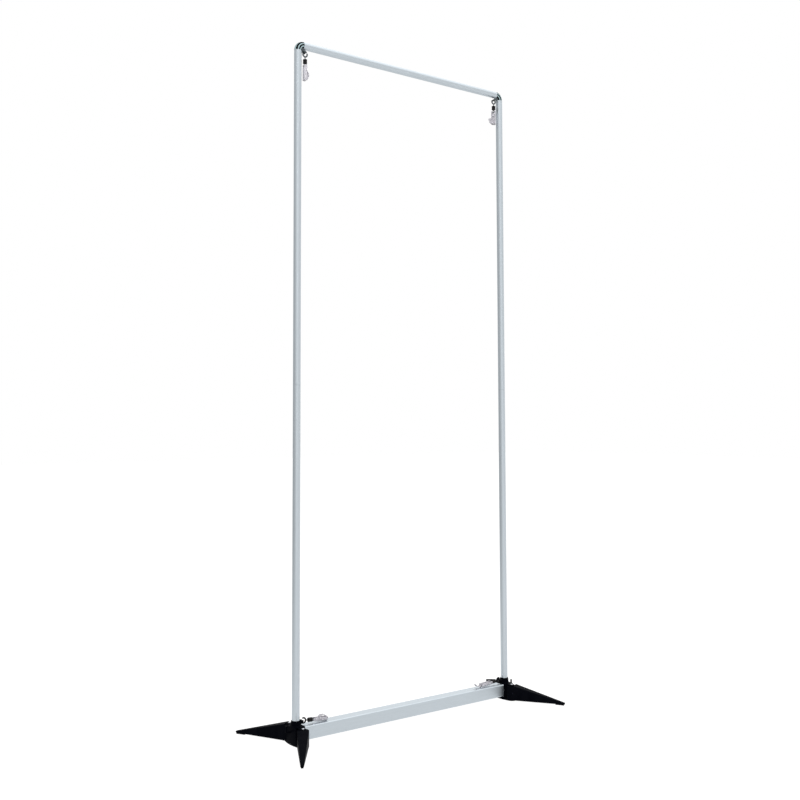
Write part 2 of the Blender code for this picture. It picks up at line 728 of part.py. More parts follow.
def toothed_jaw(inner):
    """The jaw across the trough that the lever presses the banner on to."""
    lap = 0.0006
    jaw = box("jaw", (-inner - lap, -inner - lap, -JAW_END), (JAW_TOP_N, inner + lap, -JAW_START))
    jaw = combine(jaw, rod("jaw limit", inner + 0.0011, -0.05, 0.01, 20), "INTERSECT")
    first, pitch, half, width = 0.0024, 0.0036, 0.0007, 0.0048
    for i in range(JAW_TEETH):
        z = -(JAW_START + first + i * pitch)
        jaw = cut(jaw, box("jaw groove", (JAW_TOP_N - half, -width, z - half), (-JAW_TOP_N, width, z + half)))
    return jaw


def lever_plan(foot, tip):
    """The lever seen from its front, (y, z): a neck, two shoulders and a tip with round corners."""
    wide, narrow, round_off = LEVER_HALF_WIDTH, LEVER_NECK_HALF_WIDTH, LEVER_CORNER
    corner = arc((wide - round_off, tip - round_off), round_off, 0, 90, 3)
    right = [(narrow, foot), (narrow, LEVER_SHOULDER), (wide, LEVER_SHOULDER)] + corner
    return right + [(-y, z) for y, z in reversed(right)]


def lever_mesh():
    """The clip's lever, closed: a bowed thumb strip on a neck, with a cam round its pin at the origin."""
    root, tip = Vector((0.0034, 0.0015)), Vector((0.0032, 0.0250))
    narrow, half_thick = LEVER_NECK_HALF_WIDTH, LEVER_THICKNESS / 2
    half = (tip - root).length / 2
    radius = (half * half + LEVER_RISE * LEVER_RISE) / (2 * LEVER_RISE)
    centre = (root + tip) / 2 - Vector((radius - LEVER_RISE, 0))
    sweep = math.degrees(math.asin(half / radius))
    strip = arc(centre, radius + half_thick, -sweep, sweep, 8)
    strip += arc(centre, radius - half_thick, sweep, -sweep, 8)
    handle = outline_solid("lever", [strip], -LEVER_HALF_WIDTH - GAP, LEVER_HALF_WIDTH + GAP)
    handle = placed(handle, Matrix.Rotation(math.pi / 2, 4, "X"))
    plan = outline_solid("plan", [lever_plan(-0.01, tip.y + half_thick)], -0.01, 0.03)
    facing = Matrix(((0, 0, 1, 0), (1, 0, 0, 0), (0, 1, 0, 0), (0, 0, 0, 1)))
    handle = combine(handle, placed(plan, facing), "INTERSECT")
    neck = strap("neck", (0, 0), root, 0.0013, -narrow, narrow)
    cam_radius, cam_offset = 0.0022, -0.0003
    cam = placed(rod("cam", cam_radius, GAP - narrow, narrow - GAP, 12), Matrix.Rotation(math.pi / 2, 4, "X"))
    lever = join(handle, neck, placed(cam, Matrix.Translation((cam_offset, 0, 0))))
    return finish(cut(lever, cross_hole("lever hole", CLIP_PIN_RADIUS + GAP, 0, 0)))


def build_posts(aluminium, sleeve_metal):
    foot_z = SOCKET_FLOOR_Z + GAP
    seam = GAP / 2
    lower = tube_mesh("lower tube", SEAM_Z - seam - foot_z)
    upper = tube_mesh("upper tube", ELBOW_FACE_Z - GAP - SEAM_Z - seam)
    sleeve = joiner_mesh()
    for side, x in (("left", -POST_X), ("right", POST_X)):
        add_piece(side + "_post_lower", lower, aluminium, location=(x, 0, foot_z))
        add_piece(side + "_post_upper", upper, aluminium, location=(x, 0, SEAM_Z + seam))
        add_piece(side + "_post_joiner", sleeve, sleeve_metal, location=(x, 0, SEAM_Z))


def build_bars(aluminium):
    length = POST_SPACING - 2 * BEND_RADIUS - 2 * GAP
    top = add_piece("top_bar", tube_mesh("top tube", length), aluminium)
    top.location = (-length / 2, 0, TOP_AXIS_Z)
    top.rotation_euler = (0, math.pi / 2, 0)
    add_piece("bottom_bar", bottom_bar_mesh(), aluminium, location=(0, 0, BAR_MID_Z))


def build_elbows(material):
    mesh = elbow_mesh()
    reach = POST_X - BEND_RADIUS
    add_piece("left_elbow", mesh, material, location=(-reach, 0, ELBOW_FACE_Z))
    add_piece("right_elbow", mesh, material, location=(reach, 0, ELBOW_FACE_Z), turn_z=math.pi)


def build_feet(plastic, rubber, zinc):
    hub, leg, pad, hinge_pin = hub_mesh(), leg_mesh(), pad_mesh(), hinge_pin_mesh()
    for side, frame in zip(("left", "right"), foot_frames()):
        foot = add_empty(side + "_foot")
        foot.matrix_world = frame
        add_piece(side + "_foot_hub", hub, plastic, parent=foot)
        ends = ("front", "rear") if side == "left" else ("rear", "front")
        for end, way in zip(ends, (-1, 1)):
            name = side + "_" + end + "_leg"
            hinge = add_empty(name + "_hinge", parent=foot)
            hinge.matrix_local = leg_frame(way) @ Matrix.Translation((LEG_HINGE, 0, 0))
            add_piece(name, leg, plastic, parent=hinge)
            add_piece(name + "_pad", pad, rubber, parent=hinge)
            add_piece(name + "_hinge_pin", hinge_pin, zinc, parent=hinge)


def chain_corners():
    """Name, placement of the hook pin, turn of the swivel and angle of the lever for each corner."""
    left, right = foot_frames()
    top = Matrix.Translation((HOOK_PIN_X, 0, TOP_AXIS_Z - HOOK_PIN_DROP))
    laid = Matrix.Rotation(CHAIN_TILT - math.pi / 2, 4, "Y")
    bottom = Matrix.Translation((HUB_PIN_X, 0, HUB_PIN_Z)) @ laid
    return (
        ("top_left", left @ top, 0.0, 0.0),
        ("top_right", right @ top, TOP_RIGHT_TURN, LEVER_HALF_OPEN),
        ("bottom_left", left @ bottom, 0.0, 0.0),
        ("bottom_right", right @ bottom, 0.0, LEVER_OPEN),
    )


def build_chains(steel, dark_steel, clear_plastic):
    hook, barrel, eye = hook_mesh(), barrel_mesh(), eye_mesh()
    clip, lever = clip_mesh(), lever_mesh()
    hook_pin = finish(pin_mesh("hook pin", PIN_RADIUS, PIN_HALF_LENGTH))
    clip_pin = finish(pin_mesh("clip pin", CLIP_PIN_RADIUS, CLIP_RADIUS + GAP, 8))
    for corner, place, swivel_turn, lever_turn in chain_corners():
        swing = add_empty(corner + "_hook_axis")
        swing.matrix_world = place
        add_piece(corner + "_hook_pin", hook_pin, dark_steel, parent=swing)
        add_piece(corner + "_hook", hook, steel, parent=swing)
        spin = add_empty(corner + "_swivel_axis", parent=swing, rotation=(0, 0, swivel_turn))
        add_piece(corner + "_swivel_barrel", barrel, dark_steel, parent=spin)
        add_piece(corner + "_swivel_eye", eye, steel, parent=spin)
        tilt = add_empty(corner + "_clip_axis", parent=spin, location=(0, 0, -CLIP_PIN_DROP))
        add_piece(corner + "_clip_body", clip, clear_plastic, parent=tilt)
        add_piece(corner + "_clip_pin", clip_pin, steel, parent=tilt)
        add_piece(corner + "_clip_rivet", clip_pin, steel, parent=tilt, location=(0, 0, -RIVET_AT))
        pivot = add_empty(corner + "_lever_axis", parent=tilt,
                          location=(LEVER_PIN_N, 0, -LEVER_PIN_S), rotation=(0, lever_turn, 0))
        add_piece(corner + "_lever_pin", clip_pin, steel, parent=pivot)
        add_piece(corner + "_clip_lever", lever, clear_plastic, parent=pivot)


clear_scene()
PARTS = new_collection("banner display frame")
WORKSHOP = new_collection("working shapes")
anodised = make_material("satin anodised aluminium", "#C3CAD0", 0.36, metallic=0.85)
sleeve_alloy = make_material("mill finish aluminium", "#B5B9BD", 0.45, metallic=0.9)
elbow_grey = make_material("grey moulded plastic", "#8C979A", 0.35)
black_plastic = make_material("black moulded plastic", "#0E0E12", 0.38)
black_rubber = make_material("black rubber", "#101010", 0.8)
zinc_plate = make_material("bright zinc plate", "#D2D4D8", 0.25, metallic=1.0)
hook_steel = make_material("grey steel wire", "#6E7478", 0.35, metallic=0.9)
black_steel = make_material("blackened steel", "#1C1A1A", 0.35, metallic=0.6)
clear_clip = make_material("clear plastic", "#E6E6EA", 0.15, transmission=0.8)
build_posts(anodised, sleeve_alloy)
build_bars(anodised)
build_elbows(elbow_grey)
build_feet(black_plastic, black_rubber, zinc_plate)
build_chains(hook_steel, black_steel, clear_clip)
bpy.data.collections.remove(WORKSHOP)
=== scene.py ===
"""Looks of the banner display frame: finely made pieces with their real finishes, and the stage."""
import json
import math

import bmesh
import bpy
from mathutils import Matrix, Vector

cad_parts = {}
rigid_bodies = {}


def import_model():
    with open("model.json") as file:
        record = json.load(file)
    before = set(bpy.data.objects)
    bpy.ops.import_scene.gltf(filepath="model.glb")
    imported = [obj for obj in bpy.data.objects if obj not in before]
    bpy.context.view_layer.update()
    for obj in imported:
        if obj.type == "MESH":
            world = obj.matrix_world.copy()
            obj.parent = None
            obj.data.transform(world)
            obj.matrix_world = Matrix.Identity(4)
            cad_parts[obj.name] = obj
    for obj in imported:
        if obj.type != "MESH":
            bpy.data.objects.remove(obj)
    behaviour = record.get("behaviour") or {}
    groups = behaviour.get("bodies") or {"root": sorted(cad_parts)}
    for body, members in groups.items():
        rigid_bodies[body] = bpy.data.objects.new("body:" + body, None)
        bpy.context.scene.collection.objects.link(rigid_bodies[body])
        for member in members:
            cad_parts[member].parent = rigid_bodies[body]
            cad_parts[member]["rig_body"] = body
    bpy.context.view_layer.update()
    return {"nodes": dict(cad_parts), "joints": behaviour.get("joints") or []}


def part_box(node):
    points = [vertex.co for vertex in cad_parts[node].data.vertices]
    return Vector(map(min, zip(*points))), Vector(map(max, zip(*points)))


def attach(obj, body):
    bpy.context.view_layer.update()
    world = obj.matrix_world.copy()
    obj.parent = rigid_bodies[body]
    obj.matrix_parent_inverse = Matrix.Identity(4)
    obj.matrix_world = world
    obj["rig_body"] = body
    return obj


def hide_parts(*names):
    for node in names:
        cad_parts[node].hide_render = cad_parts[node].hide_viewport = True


bl_info = {
    "name": "Banner display frame",
    "version": (1, 0, 0),
    "blender": (4, 5, 0),
    "location": "View3D > Sidebar > Banner frame",
    "description": "Makes the pieces of a banner display frame with folding feet and swivelling lever clips",
    "category": "Add Mesh",
}

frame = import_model()

# The photograph's view, in real sizes: where the lens stood and how it was turned
IMAGE_SIDE = 800
LENS_PLACE = (-1.8550, -2.4795, 0.9003)
LENS_YAW = math.radians(36.411)
LENS_PITCH = math.radians(3.495)
LENS_ROLL = math.radians(0.173)
FOCAL_PIXELS = 996.8
CENTRE_ROW_PIXELS = 361.8
SENSOR_MM = 36.0
FARTHEST_SEEN = 200.0

# Driving dimensions of the tubes and elbows
TUBE_WALL = 0.0012
BAR_WALL = 0.0015
BAR_CORNER = 0.003
GROOVE_PITCH = 0.0075
GROOVE_WIDTH = 0.0042
GROOVE_CORE = 0.004
GROOVE_LIP_SLOPE = 0.6
CHEEK_INNER = 0.0036
CHEEK_OUTER = 0.0060
CHEEK_RADIUS = 0.0028
CHEEK_ROOT = 0.0062

# Driving dimensions of a leg's pad and hinge pin
PAD_GROOVES = 5
PAD_GROOVE_PITCH = 0.004
PAD_GROOVE_WIDTH = 0.001
PAD_GROOVE_LENGTH = 0.02
PAD_GROOVE_DEPTH = 0.0004
HINGE_SHANK_RADIUS = 0.0025
HINGE_HEAD_HEIGHT = 0.0024
HINGE_DOME_RISE = 0.0018
HINGE_HEAD_EDGE = 0.0002
HINGE_LEAD_IN = 0.0006
DRIVE_RECESS = (0.0042, 0.0010, 0.0024)

# Driving dimensions of a clip chain. BARREL_TOP is how far the barrel hangs below the hook's pin. The hook's
# shoulder and the eye's weld are (radius, height) points: heights start at the ring's wire, and the weld's
# radii are added to the stem's.
PIN_RADIUS = 0.0015
PIN_HALF_LENGTH = 0.0066
HOOK_RADIUS = 0.0079
HOOK_WIRE = 0.0015
HOOK_BACK_WIRE = 0.0022
HOOK_ANGLES = (80, 395)
HOOK_SEAT_ANGLES = (100, 130)
HOOK_SHOULDER = ((0, 0.0012), (0.0012, 0.0010), (0.0020, 0.0002), (0.0022, -0.0006), (0.0019, -0.0016))
HOOK_SHOULDER_END = -0.0026
BARREL_TOP = 0.0199
BARREL_LENGTH = 0.0131
BARREL_RADIUS = 0.0062
BARREL_LIP = 0.0018
BARREL_EDGE = 0.0009
BARREL_HOLE = 0.0018
BARREL_CAVITY = 0.0034
STEM_RADIUS = 0.0014
STEM_HEAD_RADIUS = 0.0030
STEM_HEAD_HEIGHT = 0.0018
EYE_RADIUS = 0.0040
EYE_WIRE = 0.0010
EYE_WELD = ((0, 0.0006), (0.0003, 0.0001), (0.0002, -0.0004))
EYE_WELD_END = -0.0006
CLIP_PIN_RADIUS = 0.0011
CLIP_PIN_HALF_LENGTH = 0.0073
THUMB_CENTRE = (-0.00801, 0.01325)
THUMB_RADIUS = 0.01710
THUMB_ANGLES = (22, 36)
RIDGES = 3
RIDGE_RADIUS = 0.0004
RIDGE_HALF_LENGTH = 0.0040
FULL_OPEN = math.radians(160)

# Clearance between fitted pieces, and how far edges are rounded
GAP = 0.0003
EDGE_BREAK = 0.0003
HUB_ROUNDING = 0.0005
LEG_ROUNDING = 0.0006
PAD_ROUNDING = 0.0003
CLIP_ROUNDING = 0.00022
LEVER_ROUNDING = 0.00025

# Angles in degrees: edges sharper than ROUNDED are rounded, edges sharper than HARD stay hard when shaded,
# and faces that lean less than FLAT against each other become one
ROUNDED_ABOVE = 40
MOULD_ROUNDED_ABOVE = 32
HARD_ABOVE = 40
MOULD_HARD_ABOVE = 34
JOINED_HARD_ABOVE = 32
BEND_HARD_ABOVE = 28
FLAT_BELOW = 0.6

# Fineness of the meshes
MERGE_DISTANCE = 0.000002
TUBE_STEPS = 96
BEND_STEPS = 32
BAR_CORNER_STEPS = 10
STRAP_END_STEPS = 20
SMALL_ROUND_STEPS = 48
STEM_STEPS = 32
RIDGE_STEPS = 16
HOOK_STEPS = 80
HOOK_TIP_STEPS = 3
WIRE_FINENESS = 5

# The studio: a floor just under the feet and two large lights
FLOOR_Z = -0.0002
LIGHTS_AIM = (0, 0, 0.9)
KEY_PLACE = (-2.6, -3.4, 3.6)
KEY_SIDE = 2.6
FILL_PLACE = (3.4, -2.2, 2.2)
FILL_SIDE = 2.4

# What a mirror or a clear piece sees of the studio: brightness at the start and the end of a stretch, then
# where the stretch starts and ends. The floor's ends are metres across the view. The room's are how far a
# direction points to the right of the view, or up.
FLOOR_MIRRORED = (0.40, 0.78, -3.0, -0.4)
ROOM_LEFT_MIRRORED = (0.42, 0.90, -1.0, 0.1)
ROOM_RIGHT_MIRRORED = (0.90, 0.66, 0.3, 1.0)
ROOM_ABOVE_MIRRORED = (0.0, 0.45, 0.3, 0.85)

# The corners, legs and sides that pieces are made for
CORNERS = ("top_left", "top_right", "bottom_left", "bottom_right")
LEGS = ("left_front_leg", "left_rear_leg", "right_front_leg", "right_rear_leg")
SIDES = ("left", "right")

# Worked out from the frame and the view
TUBE_LOW, TUBE_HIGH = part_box("left_post_upper")
TUBE_RADIUS = (TUBE_HIGH.x - TUBE_LOW.x) / 2
POST_X = -(TUBE_HIGH.x + TUBE_LOW.x) / 2
TOP_AXIS_Z = (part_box("top_bar")[0].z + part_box("top_bar")[1].z) / 2
BEND_RADIUS = TOP_AXIS_Z - TUBE_HIGH.z - GAP
JOINTS = {joint["name"]: joint for joint in frame["joints"]}
ACROSS_VIEW = (math.cos(LENS_YAW), -math.sin(LENS_YAW), 0)


def linear(colour):
    """A hex colour as the linear values that shaders take."""
    channels = [int(colour[i:i + 2], 16) / 255 for i in (1, 3, 5)]
    return [c / 12.92 if c <= 0.04045 else ((c + 0.055) / 1.055) ** 2.4 for c in channels]


def every_mm(size):
    """Texture scale for a pattern whose grain is this many millimetres, in coordinates of metres."""
    return 1000.0 / size


def add_node(tree, kind, settings=None, **inputs):
    """Adds a node with its settings; an input is a value or the socket that feeds it."""
    node = tree.nodes.new(kind)
    for name, value in (settings or {}).items():
        setattr(node, name, value)
    for name, value in inputs.items():
        numbered = name[0] == "i" and name[1:].isdigit()
        socket = node.inputs[int(name[1:]) if numbered else name.replace("_", " ")]
        if isinstance(value, bpy.types.NodeSocket):
            tree.links.new(value, socket)
        else:
            socket.default_value = value
    return node


def start_material(name, **fixed):
    """A new material with its Principled shader, constants set on the shader's own sockets."""
    material = bpy.data.materials.new(name)
    material.use_nodes = True
    shader = material.node_tree.nodes["Principled BSDF"]
    for socket, value in fixed.items():
        shader.inputs[socket.replace("_", " ")].default_value = value
    return material, material.node_tree, shader


def local_grain(tree, stretch=(1, 1, 1)):
    """Object coordinates in metres, stretched for a grain that runs one way."""
    place = add_node(tree, "ShaderNodeTexCoord")
    mapping = add_node(tree, "ShaderNodeMapping", Vector=place.outputs["Object"], Scale=stretch)
    return mapping.outputs["Vector"]


def noise(tree, place, grain_mm, detail=2.0, roughness=0.5):
    """A noise whose grain is this many millimetres."""
    return add_node(tree, "ShaderNodeTexNoise", Vector=place, Scale=every_mm(grain_mm),
                    Detail=detail, Roughness=roughness).outputs["Fac"]


def spread(tree, value, low, high, start=0.0, end=1.0):
    """A value between start and end spread over low to high."""
    return add_node(tree, "ShaderNodeMapRange", Value=value, From_Min=start, From_Max=end,
                    To_Min=low, To_Max=high).outputs["Result"]


def tint(tree, value, dark, light):
    """Two hex colours mixed by a value."""
    mix = add_node(tree, "ShaderNodeMix", {"data_type": "RGBA"}, i0=value,
                   i6=(*linear(dark), 1), i7=(*linear(light), 1))
    return mix.outputs[2]


def bumped(tree, shader, height, depth_mm, strength=1.0):
    """Gives the shader a relief of this depth in millimetres."""
    bump = add_node(tree, "ShaderNodeBump", Height=height, Distance=depth_mm / 1000, Strength=strength)
    tree.links.new(bump.outputs["Normal"], shader.inputs["Normal"])


def anodised_aluminium(name, colour, roughness):
    """Extruded aluminium, satin etched and clear anodised: pale silver with faint lines along its length."""
    material, tree, shader = start_material(name, Metallic=0.92)
    along_tube = local_grain(tree, (1, 1, 0.004))
    lines = noise(tree, along_tube, 0.5, 3.0, 0.6)
    clouds = noise(tree, local_grain(tree), 45, 2.0)
    dark = mixed_hex(colour, "#000000", 0.045)
    tone = tint(tree, spread(tree, lines, 0, 1, 0.3, 0.7), dark, colour)
    tree.links.new(tone, shader.inputs["Base Color"])
    rough = add_node(tree, "ShaderNodeMath", {"operation": "ADD"},
                     i0=spread(tree, lines, roughness - 0.04, roughness + 0.04),
                     i1=spread(tree, clouds, -0.03, 0.03, 0.3, 0.7)).outputs[0]
    tree.links.new(rough, shader.inputs["Roughness"])
    bumped(tree, shader, lines, 0.006, 0.5)
    return material


def mixed_hex(first, second, share):
    """A hex colour this share of the way from the first to the second."""
    pairs = [(int(first[i:i + 2], 16), int(second[i:i + 2], 16)) for i in (1, 3, 5)]
    return "#" + "".join(f"{round(a + (b - a) * share):02X}" for a, b in pairs)


def moulded_plastic(name, colour, roughness, grain_mm=0.35, depth_mm=0.012, specular=0.5):
    """Injection moulded nylon or ABS: one colour, a spark-eroded satin grain and faint flow marks."""
    material, tree, shader = start_material(name, Metallic=0.0, IOR=1.53, Specular_IOR_Level=specular)
    grain = noise(tree, local_grain(tree), grain_mm, 2.0)
    flow = noise(tree, local_grain(tree, (1, 1, 0.35)), 28, 3.0)
    scuffs = noise(tree, local_grain(tree, (0.2, 1, 1)), 2.2, 4.0, 0.65)
    light = mixed_hex(colour, "#FFFFFF", 0.025)
    tone = tint(tree, spread(tree, flow, 0, 1, 0.35, 0.7), colour, light)
    tree.links.new(tone, shader.inputs["Base Color"])
    rough = add_node(tree, "ShaderNodeMath", {"operation": "ADD"},
                     i0=spread(tree, flow, roughness - 0.05, roughness + 0.05, 0.3, 0.7),
                     i1=spread(tree, scuffs, 0.0, 0.12, 0.55, 0.75)).outputs[0]
    tree.links.new(rough, shader.inputs["Roughness"])
    bumped(tree, shader, grain, depth_mm, 0.6)
    return material


def nitrile_rubber(name, colour):
    """Moulded nitrile rubber: matt black, dusty grey where it is scuffed."""
    material, tree, shader = start_material(name, Roughness=0.82, IOR=1.52, Specular_IOR_Level=0.15)
    dust = noise(tree, local_grain(tree), 1.6, 4.0, 0.7)
    dusty = mixed_hex(colour, "#8A8884", 0.1)
    tone = tint(tree, spread(tree, dust, 0, 1, 0.45, 0.75), colour, dusty)
    tree.links.new(tone, shader.inputs["Base Color"])
    bumped(tree, shader, noise(tree, local_grain(tree), 0.3), 0.02)
    return material


def plated_steel(name, dark, light, roughness, metallic=1.0, patch_mm=1.4, specular=0.5):
    """Plated or blackened steel: a hard sheen, mottled as the bath leaves it."""
    material, tree, shader = start_material(name, Metallic=metallic, Specular_IOR_Level=specular)
    patches = noise(tree, local_grain(tree), patch_mm, 4.0, 0.6)
    tone = tint(tree, spread(tree, patches, 0, 1, 0.35, 0.7), dark, light)
    rough = spread(tree, patches, roughness - 0.06, roughness + 0.08, 0.3, 0.7)
    tree.links.new(tone, shader.inputs["Base Color"])
    tree.links.new(rough, shader.inputs["Roughness"])
    bumped(tree, shader, noise(tree, local_grain(tree), 0.25), 0.004, 0.5)
    return material


def clear_polycarbonate(name, colour, roughness, clearness):
    """Clear polycarbonate: glassy, with soft flow lines and a faintly frosted skin."""
    material, tree, shader = start_material(name, IOR=1.58, Transmission_Weight=clearness)
    flow = noise(tree, local_grain(tree, (1, 1, 0.3)), 6, 3.0)
    tone = tint(tree, flow, mixed_hex(colour, "#8D8D96", 0.12), colour)
    tree.links.new(tone, shader.inputs["Base Color"])
    rough = spread(tree, flow, roughness - 0.03, roughness + 0.06, 0.3, 0.7)
    tree.links.new(rough, shader.inputs["Roughness"])
    bumped(tree, shader, noise(tree, local_grain(tree), 3.0), 0.008, 0.5)
    return material


def make_finish(key):
    """The material of one finish, from the panel's colours."""
    looks = bpy.context.scene.banner_frame_finishes
    colours = (looks.aluminium, looks.elbow, looks.plastic, looks.clip)
    aluminium, elbow, plastic, clip = (to_hex(colour) for colour in colours)
    rough, foot_rough = looks.tube_roughness, looks.plastic_roughness
    makers = {
        "tube": lambda: anodised_aluminium("anodised aluminium tube", aluminium, rough),
        "bar": lambda: anodised_aluminium("anodised aluminium bar", aluminium, rough + 0.04),
        "sleeve": lambda: anodised_aluminium("mill finish aluminium", "#B2B6BA", 0.42),
        "elbow": lambda: moulded_plastic("silver grey moulded ABS", elbow, 0.34, 0.3, 0.008),
        # Painted shade: the elbow's groove faces are near black to stand for the shade deep in the grooves
        "groove": lambda: moulded_plastic("painted black groove shade", "#020203", 0.55, 0.3, 0.008, 0.08),
        "nylon": lambda: moulded_plastic("black glass-filled nylon", plastic, foot_rough, specular=0.008),
        "rubber": lambda: nitrile_rubber("black nitrile rubber", "#08080A"),
        "zinc": lambda: plated_steel("bright zinc-plated steel", "#C9CDD3", "#E6E8EC", 0.24),
        "wire": lambda: plated_steel("dull nickel-plated wire", "#5C6265", "#727A7E", 0.32, patch_mm=0.6),
        "bright_wire": lambda: plated_steel("nickel-plated pin", "#A4A9AE", "#C0C4C8", 0.30, patch_mm=0.6),
        "dark_wire": lambda: plated_steel("black japanned wire", "#060608", "#0C0C10", 0.45, 0.0, 0.8, 0.08),
        "black_steel": lambda: plated_steel("black oxide steel", "#100F10", "#232222", 0.34, 0.6),
        "clear": lambda: clear_polycarbonate("clear polycarbonate", clip, 0.28, looks.clip_clearness),
    }
    return makers[key]()


MADE = {}


def finish_for(key):
    """The material for one of the object's finishes, made once."""
    if key not in MADE:
        MADE[key] = make_finish(key)
    return MADE[key]


def to_hex(colour):
    """A panel colour, which Blender holds as sRGB for gamma subtypes, as hex."""
    return "#" + "".join(f"{round(c * 255):02X}" for c in colour)


def from_hex(colour):
    """A hex colour as the values that a panel colour takes."""
    return tuple(int(colour[i:i + 2], 16) / 255 for i in (1, 3, 5))


def new_object(name, bm):
    """An object with the mesh that has been built."""
    mesh = bpy.data.meshes.new(name)
    bm.to_mesh(mesh)
    bm.free()
    item = bpy.data.objects.new(name, mesh)
    bpy.context.scene.collection.objects.link(item)
    return item


def baked(item, smooth=HARD_ABOVE, place=None):
    """A piece with its curve or modifiers made into a plain mesh, shaded smooth between sharp edges."""
    bpy.context.view_layer.update()
    graph = bpy.context.evaluated_depsgraph_get()
    name = item.name
    mesh = bpy.data.meshes.new_from_object(item.evaluated_get(graph))
    bpy.data.objects.remove(item, do_unlink=True)
    bm = bmesh.new()
    bm.from_mesh(mesh)
    bmesh.ops.remove_doubles(bm, verts=bm.verts, dist=MERGE_DISTANCE)
    if place is not None:
        bmesh.ops.transform(bm, matrix=place, verts=bm.verts)
    bmesh.ops.recalc_face_normals(bm, faces=bm.faces)
    bm.to_mesh(mesh)
    bm.free()
    mesh.shade_smooth()
    mesh.set_sharp_from_angle(angle=math.radians(smooth))
    made = bpy.data.objects.new(name, mesh)
    bpy.context.scene.collection.objects.link(made)
    return made


def settled(item):
    """Keeps large faces evenly shaded beside their rounded edges."""
    item.modifiers.new("settled shading", "WEIGHTED_NORMAL").keep_sharp = True
    bpy.context.view_layer.update()
    graph = bpy.context.evaluated_depsgraph_get()
    mesh = bpy.data.meshes.new_from_object(item.evaluated_get(graph))
    item.modifiers.clear()
    item.data = mesh


def seated(item, node, *finishes, place=None):
    """Stands a piece in for its CAD node: placed, given its finishes and riding on the node's body."""
    settled(item)
    if place is not None:
        item.matrix_world = place
    for key in finishes:
        item.data.materials.append(finish_for(key))
    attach(item, frame["nodes"][node]["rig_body"])
    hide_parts(node)
    return item


def turned(name, profile, steps, closed=False):
    """A profile of (radius, z) points, top to bottom down its outer side, turned about Z."""
    bm = bmesh.new()
    points = [bm.verts.new((radius, 0, z)) for radius, z in profile]
    for start, end in zip(points, points[1:]):
        bm.edges.new((start, end))
    if closed:
        bm.edges.new((points[-1], points[0]))
    item = new_object(name, bm)
    lathe = item.modifiers.new("turned", "SCREW")
    lathe.axis = "Z"
    lathe.angle = math.tau
    lathe.steps = steps
    lathe.render_steps = steps
    lathe.use_merge_vertices = True
    lathe.merge_threshold = MERGE_DISTANCE
    return baked(item)


def arc(centre, radius, start, end, steps):
    """Points of an arc in degrees, both ends included."""
    angles = [math.radians(start + (end - start) * i / steps) for i in range(steps + 1)]
    return [(centre[0] + radius * math.cos(a), centre[1] + radius * math.sin(a)) for a in angles]


def wire(name, points, radii, closed=False):
    """A round wire through points, its radius following along, with filled ends."""
    curve = bpy.data.curves.new(name, "CURVE")
    curve.dimensions = "3D"
    curve.bevel_depth = 1.0
    curve.bevel_resolution = WIRE_FINENESS
    curve.use_fill_caps = True
    spline = curve.splines.new("POLY")
    spline.points.add(len(points) - 1)
    for point, place, radius in zip(spline.points, points, radii):
        point.co = (*place, 1)
        point.radius = radius
    spline.use_cyclic_u = closed
    item = bpy.data.objects.new(name, curve)
    bpy.context.scene.collection.objects.link(item)
    return baked(item)


def outline_solid(name, loops, low, high):
    """Flat outlines in x and y, the later ones holes, made solid from z low to high."""
    curve = bpy.data.curves.new(name, "CURVE")
    curve.dimensions = "2D"
    curve.fill_mode = "BOTH"
    curve.extrude = (high - low) / 2
    for loop in loops:
        spline = curve.splines.new("POLY")
        spline.points.add(len(loop) - 1)
        for point, (x, y) in zip(spline.points, loop):
            point.co = (x, y, 0, 1)
        spline.use_cyclic_u = True
    item = bpy.data.objects.new(name, curve)
    bpy.context.scene.collection.objects.link(item)
    return baked(item, place=Matrix.Translation((0, 0, (low + high) / 2)))


def cut(body, tool):
    """The body with the tool's shape cut out of it; the tool is used up."""
    change = body.modifiers.new("cut", "BOOLEAN")
    change.operation = "DIFFERENCE"
    change.object = tool
    change.solver = "EXACT"
    made = baked(body)
    bpy.data.objects.remove(tool, do_unlink=True)
    return made


def add_rounding(item, width, angle):
    """Rounds the edges that are sharper than this many degrees, and returns the modifier."""
    edge = item.modifiers.new("rounded edges", "BEVEL")
    edge.width = width
    edge.segments = 2
    edge.limit_method = "ANGLE"
    edge.angle_limit = math.radians(angle)
    return edge


def eased(item, width):
    """A piece with its edges broken."""
    add_rounding(item, width, ROUNDED_ABOVE)
    return baked(item)


def softened(node, width):
    """The node's own shape with every sharp edge rounded as a mould or a tumbler leaves it."""
    bm = bmesh.new()
    bm.from_mesh(frame["nodes"][node].data)
    bmesh.ops.remove_doubles(bm, verts=bm.verts, dist=MERGE_DISTANCE * 5)
    bmesh.ops.dissolve_limit(bm, angle_limit=math.radians(FLAT_BELOW), verts=bm.verts, edges=bm.edges)
    item = new_object(node + "_piece", bm)
    edge = add_rounding(item, width, MOULD_ROUNDED_ABOVE)
    edge.use_clamp_overlap = True
    edge.miter_outer = "MITER_ARC"
    return baked(item, MOULD_HARD_ABOVE)


def node_centre(node):
    """The middle of a CAD node's box."""
    low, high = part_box(node)
    return (low + high) / 2


def joint_place(name):
    """A joint's place at rest."""
    return Vector(JOINTS[name]["pos_m"])


def joint_axis(name):
    """The direction that a joint turns about."""
    return Vector(JOINTS[name]["axis"])


def axes_at(place, y_axis, z_axis):
    """A placement from a point and the directions of its y and z."""
    x_axis = y_axis.cross(z_axis)
    turn = Matrix((x_axis, y_axis, z_axis)).transposed().to_4x4()
    return Matrix.Translation(place) @ turn


def hook_frame(corner):
    """Where a hook hangs: z up its stem to the pin, y along the pin."""
    swing, turn = corner + "_hook_swing", corner + "_swivel_turn"
    return axes_at(joint_place(swing), -joint_axis(swing), joint_axis(turn))


